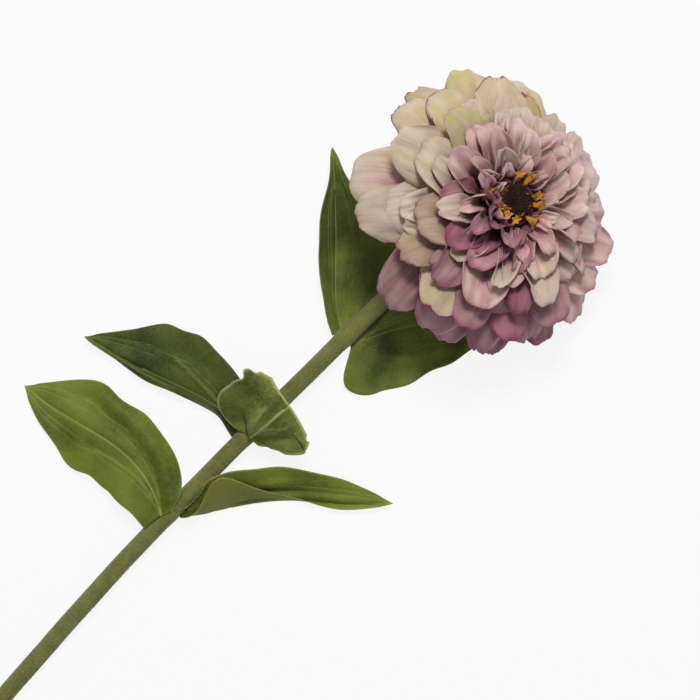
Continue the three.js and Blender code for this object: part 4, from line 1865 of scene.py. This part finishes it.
@dataclass
class Disc:
    """The dark middle: a dome close-set with pointed scales."""

    frame: BloomFrame
    radius: float = 6.5
    bottom: float = 28.7
    wall: float = 0.6
    top: float = 31.2
    sides: int = 40
    steps: int = 10
    scale: tuple[tuple[float, float, float], ...] = (
        (0.28, -0.3, 0),
        (0.24, 0.5, 0.02),
        (0.12, 1.0, 0.08),
        (0, 1.5, 0.2),
    )

    def dome(self, place: Place) -> bpy.types.Object:
        """Makes the dome that carries the scales.

        Args:
            place: moves millimetres into the frame.

        Returns:
            The dome, standing on a short wall.
        """
        turn = circle(self.sides)
        shoulder = self.bottom + self.wall
        rings = [self.frame.point(self.radius, turn, self.bottom)]
        for lift in np.linspace(0, math.pi / 2, self.steps, endpoint=False):
            height = shoulder + (self.top - shoulder) * math.sin(lift)
            rings.append(self.frame.point(self.radius * math.cos(lift), turn, height))
        low, high = (self.frame.point(0.0, 0.0, h) for h in (self.bottom, self.top))
        points, faces = ringed(rings, low, high)
        return mesh_object("disc_dome", place(points), faces)

    def scales(self, dome: bpy.types.Object, skin: bpy.types.Material) -> bpy.types.Object:
        """Covers the dome with scales.

        Args:
            dome: the dome.
            skin: its finish, which the scales share.

        Returns:
            The scales as one piece.
        """
        scatter = Scatter("disc_scales", density=4.5e6, low=0.6, high=1.1, lean=0.45)
        return scatter.grow(dome, spike("scale_shape", self.scale, 5), skin)


@dataclass
class FloretRing:
    """The ring of yellow florets round the disc: open five-lobed tubes that lean at random on a circle."""

    frame: BloomFrame
    count: int = 16
    radius: float = 7.1
    height: float = 28.0
    seed: int = 9
    sides: int = 20
    stray: tuple[tuple[float, float, float], ...] = ((-0.9, -0.9, -0.8), (0.9, 0.9, 0.4))
    lean: tuple[float, float] = (-0.14, 0.24)
    sizes: tuple[float, float] = (0.85, 2.0)

    def floret(self) -> bpy.types.Object:
        """Makes one floret in millimetres, standing on its origin.

        Returns:
            A tube that opens in five pointed lobes.
        """
        turn = circle(self.sides)
        lobe = (0.5 + 0.5 * np.cos(5 * turn)) * (1 + 0.35 * np.sin(2 * turn + 1))
        level = 0 * turn
        rings = [
            (level + 0.42, level),
            (level + 0.5, level + 1.2),
            (0.7 + 0.1 * lobe, level + 2.3),
            (0.8 + 0.45 * lobe, 2.9 + 0.5 * lobe),
            (0.85 + 0.95 * lobe**1.5, 3.2 + 0.5 * lobe * np.sin(3 * turn)),
            (0.65 + 0.35 * lobe, 2.95 + 0.5 * lobe),
            (0.45 + 0.1 * lobe, level + 2.5),
        ]
        stack = [np.stack([r * np.cos(turn), r * np.sin(turn), h], -1) for r, h in rings]
        points, faces = ringed(stack, np.array([0.0, 0.0, 0.0]), np.array([0.0, 0.0, 2.4]))
        return mesh_object("floret_shape", points, faces)

    def tree(
        self,
        values: dict[str, float],
        shape: bpy.types.Object,
        material: bpy.types.Material,
        stand: Matrix,
    ) -> bpy.types.NodeTree:
        """Builds the tree that sets the florets round the circle.

        Args:
            values: its named inputs.
            shape: one floret, in millimetres.
            material: the finish.
            stand: the bloom's frame as a matrix that takes millimetres to metres.

        Returns:
            The tree.
        """
        tree = growing_tree("floret_ring", values)
        given = add(tree, "NodeGroupInput").outputs
        seed = given["Seed"]
        ring = add(
            tree, "GeometryNodeMeshCircle", {"Vertices": given["Count"], "Radius": given["Radius"]}
        )
        lift = add(tree, "ShaderNodeCombineXYZ", {"Z": given["Height"]})
        least, most = self.stray
        jitter = add(
            tree, "FunctionNodeRandomValue", {0: least, 1: most, "Seed": seed}, data_type="FLOAT_VECTOR"
        )
        moved = add(tree, "ShaderNodeVectorMath", {0: lift, 1: jitter}, operation="ADD")
        spots = add(tree, "GeometryNodeSetPosition", {"Geometry": ring, "Offset": moved})
        where = add(tree, "GeometryNodeInputPosition")
        outward = add(tree, "ShaderNodeVectorMath", {0: where, 1: (1, 1, 0)}, operation="MULTIPLY")
        least, most = self.lean
        reach = add(
            tree, "FunctionNodeRandomValue", {2: least, 3: most, "Seed": seed}, data_type="FLOAT"
        )
        leaning = add(tree, "ShaderNodeVectorMath", {0: outward, "Scale": reach}, operation="SCALE")
        upright = add(tree, "ShaderNodeVectorMath", {0: leaning, 1: (0, 0, 1)}, operation="ADD")
        rotation = add(tree, "FunctionNodeAlignRotationToVector", {"Vector": upright}, axis="Z")
        least, most = self.sizes
        sizes = add(
            tree, "FunctionNodeRandomValue", {2: least, 3: most, "Seed": seed}, data_type="FLOAT"
        )
        what = add(tree, "GeometryNodeObjectInfo", {"Object": shape})
        copies = add(
            tree,
            "GeometryNodeInstanceOnPoints",
            {
                "Points": spots,
                "Instance": what.outputs["Geometry"],
                "Rotation": rotation,
                "Scale": sizes,
            },
        )
        stood = add(
            tree,
            "GeometryNodeTransform",
            {
                "Geometry": copies,
                "Translation": tuple(stand.translation),
                "Rotation": tuple(stand.to_quaternion().to_euler()),
                "Scale": (MM, MM, MM),
            },
        )
        end_tree(tree, stood, material)
        return tree

    def build(self, material: bpy.types.Material, stand: Matrix) -> bpy.types.Object:
        """Makes the ring.

        Args:
            material: the finish.
            stand: the bloom's frame as a matrix that takes millimetres to metres.

        Returns:
            The ring as a plain mesh.
        """
        values = {"Count": self.count, "Radius": self.radius, "Height": self.height, "Seed": self.seed}
        shape = self.floret()
        carrier = mesh_object("floret_carrier", np.zeros((3, 3)), [(0, 1, 2)])
        made = grown("floret_ring", carrier, self.tree(values, shape, material, stand), values)
        made.data.polygons.foreach_set("use_smooth", [True] * len(made.data.polygons))
        bpy.data.objects.remove(carrier)
        bpy.data.objects.remove(shape)
        return made


# ---- stage ----


@dataclass
class Stage:
    """The pale surface, the soft light and the camera looking down on the flower.

    The camera's aim, height, plane of scale and width of view are in millimetres; the lamp's place and size
    are in metres, and its way is given across the picture, up it and towards the camera.
    """

    shift: Array
    roll: float = math.radians(46)
    aim: tuple[float, float] = (247.8, 0.5)
    height: float = 1500.0
    plane: float = 12.0
    across: float = 266.0
    sensor_mm: float = 36.0
    key_aim: tuple[float, float, float] = (0.08, 0, 0.02)
    key_way: tuple[float, float, float] = (0.05, 0.52, 1.0)
    key_distance: float = 1.5
    key_size: float = 0.3
    key_watts: float = 17.0
    key_colour: tuple[float, float, float] = (1.0, 0.965, 0.93)
    sky_colour: Colour = (0.96, 0.98, 1.0, 1.0)
    sky_strength: float = 0.36
    board: str = "555556"
    board_glow: float = 0.88
    board_reach: float = 4.0
    board_drop: float = 0.0002

    def image_axes(self) -> tuple[Vector, Vector]:
        """The directions across and up the picture, in the frame."""
        c, s = math.cos(self.roll), math.sin(self.roll)
        return Vector((c, -s, 0)), Vector((s, c, 0))

    def camera(self) -> None:
        """Makes the camera, straight above the flower and rolled so that the stem climbs to the right."""
        lens = bpy.data.cameras.new("camera")
        lens.sensor_width = self.sensor_mm
        lens.lens = self.sensor_mm * (self.height - self.plane) / self.across
        lens.clip_start, lens.clip_end = 0.05, 20
        right, up = self.image_axes()
        turn = Matrix((right, up, Vector((0, 0, 1)))).transposed().to_4x4()
        centre = np.array([*self.aim, 0]) + self.shift
        turn.translation = Vector((centre[0] * MM, centre[1] * MM, self.height * MM))
        made = bpy.data.objects.new("camera", lens)
        made.matrix_world = turn
        bpy.context.scene.collection.objects.link(made)
        bpy.context.scene.camera = made

    def lights(self) -> None:
        """Makes a large soft key from the top of the picture and an even sky."""
        right, up = self.image_axes()
        lamp = bpy.data.lights.new("key", "AREA")
        lamp.energy, lamp.size, lamp.shape = self.key_watts, self.key_size, "SQUARE"
        lamp.color = self.key_colour
        made = bpy.data.objects.new("key", lamp)
        sideways, upward, outward = self.key_way
        way = sideways * right + upward * up + Vector((0, 0, outward))
        spot = Vector(self.key_aim) + way.normalized() * self.key_distance
        made.matrix_world = Matrix.Translation(spot) @ way.to_track_quat("Z", "Y").to_matrix().to_4x4()
        bpy.context.scene.collection.objects.link(made)
        world = bpy.data.worlds.new("sky")
        bpy.context.scene.world = world
        world.use_nodes = True
        tree = world.node_tree
        tree.nodes.clear()
        sky = add(tree, "ShaderNodeBackground", {"Color": self.sky_colour, "Strength": self.sky_strength})
        add(tree, "ShaderNodeOutputWorld", {"Surface": sky})

    def floor(self) -> None:
        """Makes the pale surface: matt white board lit a little from below, as on a light table."""
        reach, level = self.board_reach, -self.board_drop
        corners = np.array([(x * reach, y * reach, level) for x, y in ((-1, -1), (1, -1), (1, 1), (-1, 1))])
        made = mesh_object("pale_surface", corners, [(0, 1, 2, 3)], smooth=False)
        paint, tree = blank_material("white_board_matt")
        board = add(
            tree,
            "ShaderNodeBsdfPrincipled",
            {
                "Base Color": linear(self.board),
                "Roughness": 0.9,
                "Specular IOR Level": 0.0,
                "Emission Color": linear("FFFFFF"),
                "Emission Strength": self.board_glow,
            },
        )
        add(tree, "ShaderNodeOutputMaterial", {"Surface": board})
        made.data.materials.append(paint)

    def build(self) -> None:
        """Sets the whole stage."""
        self.camera()
        self.lights()
        self.floor()
        bpy.context.scene.view_settings.view_transform = "Standard"


# ---- the flower ----


@dataclass
class Zinnia:
    """The whole flower, built piece by piece and fastened to the frame."""

    frame: BloomFrame = field(default_factory=BloomFrame)
    stem: Stem = field(init=False)
    stem_points: Array = field(init=False)
    stem_faces: Array = field(init=False)
    shift: Array = field(init=False)

    def __post_init__(self) -> None:
        """Finds where the flower's own coordinates lie in the frame, from the stem's box."""
        self.stem = Stem(StemLine(self.frame))
        self.stem_points, self.stem_faces = self.stem.tube()
        low, high = (np.array(c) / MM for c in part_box("stem"))
        middle = (self.stem_points.min(0) + self.stem_points.max(0)) / 2
        self.shift = (low + high) / 2 - middle
        self.shift[2] = 0.0

    def place(self, points: Array) -> Array:
        """Moves points from the flower's millimetres into the frame's metres."""
        return (points + self.shift) * MM

    def fasten(self, piece: bpy.types.Object, material: bpy.types.Material, slot: str, *nodes: str) -> None:
        """Dresses a piece and fastens it to the frame.

        Args:
            piece: the piece.
            material: its finish.
            slot: the record's slot for the piece; not used.
            nodes: the solids that it stands for.
        """
        if not piece.data.materials:
            piece.data.materials.append(material)
        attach(piece, "root")
        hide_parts(*nodes)
        LOG.info("%s: %d faces", piece.name, len(piece.data.polygons))

    def build_stem(self) -> None:
        """Makes the stem and its down."""
        skin = STEM_SKIN.build()
        tube = mesh_object("stem_tube", self.place(self.stem_points), self.stem_faces)
        down = self.stem.down(tube, skin)
        self.fasten(tube, skin, "stem", "stem")
        self.fasten(down, skin, "stem", "stem")

    def build_leaves(self) -> None:
        """Makes the three pairs of leaves."""
        # Each leaf takes the skin painted for the light or shade that falls on it.
        skins = {age: skin.build() for age, skin in LEAF_SKINS.items()}
        for leaf in LEAVES:
            self.fasten(leaf.build(self.place, self.stem), skins[leaf.age], "leaf", leaf.node)

    def build_bloom(self) -> None:
        """Makes the calyx, the petals, the florets and the disc."""
        self.fasten(Calyx(self.frame).build(self.place), BRACT_SKIN.build(), "calyx", "calyx")
        petal_skin = PetalSkin().build()
        for piece in Petals(self.frame).build(self.place):
            self.fasten(piece, petal_skin, "petals", "petals")
        floret_skin = FLORET_SKIN.build()
        ring = FloretRing(self.frame).build(floret_skin, self.frame.matrix(self.shift))
        self.fasten(ring, floret_skin, "yellow_florets", "yellow_florets")
        disc, disc_skin = Disc(self.frame), DISC_SKIN.build()
        dome = disc.dome(self.place)
        scales = disc.scales(dome, disc_skin)
        self.fasten(dome, disc_skin, "disc", "disc")
        self.fasten(scales, disc_skin, "disc", "disc")


def main() -> None:
    """Builds the flower and its stage."""
    logging.basicConfig(level=logging.INFO, format="%(name)s %(message)s")
    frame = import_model()
    LOG.info("frame: %d solids", len(frame["nodes"]))
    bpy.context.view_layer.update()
    flower = Zinnia()
    Stage(flower.shift).build()
    flower.build_stem()
    flower.build_leaves()
    flower.build_bloom()


if __name__ == "__main__":
    main()
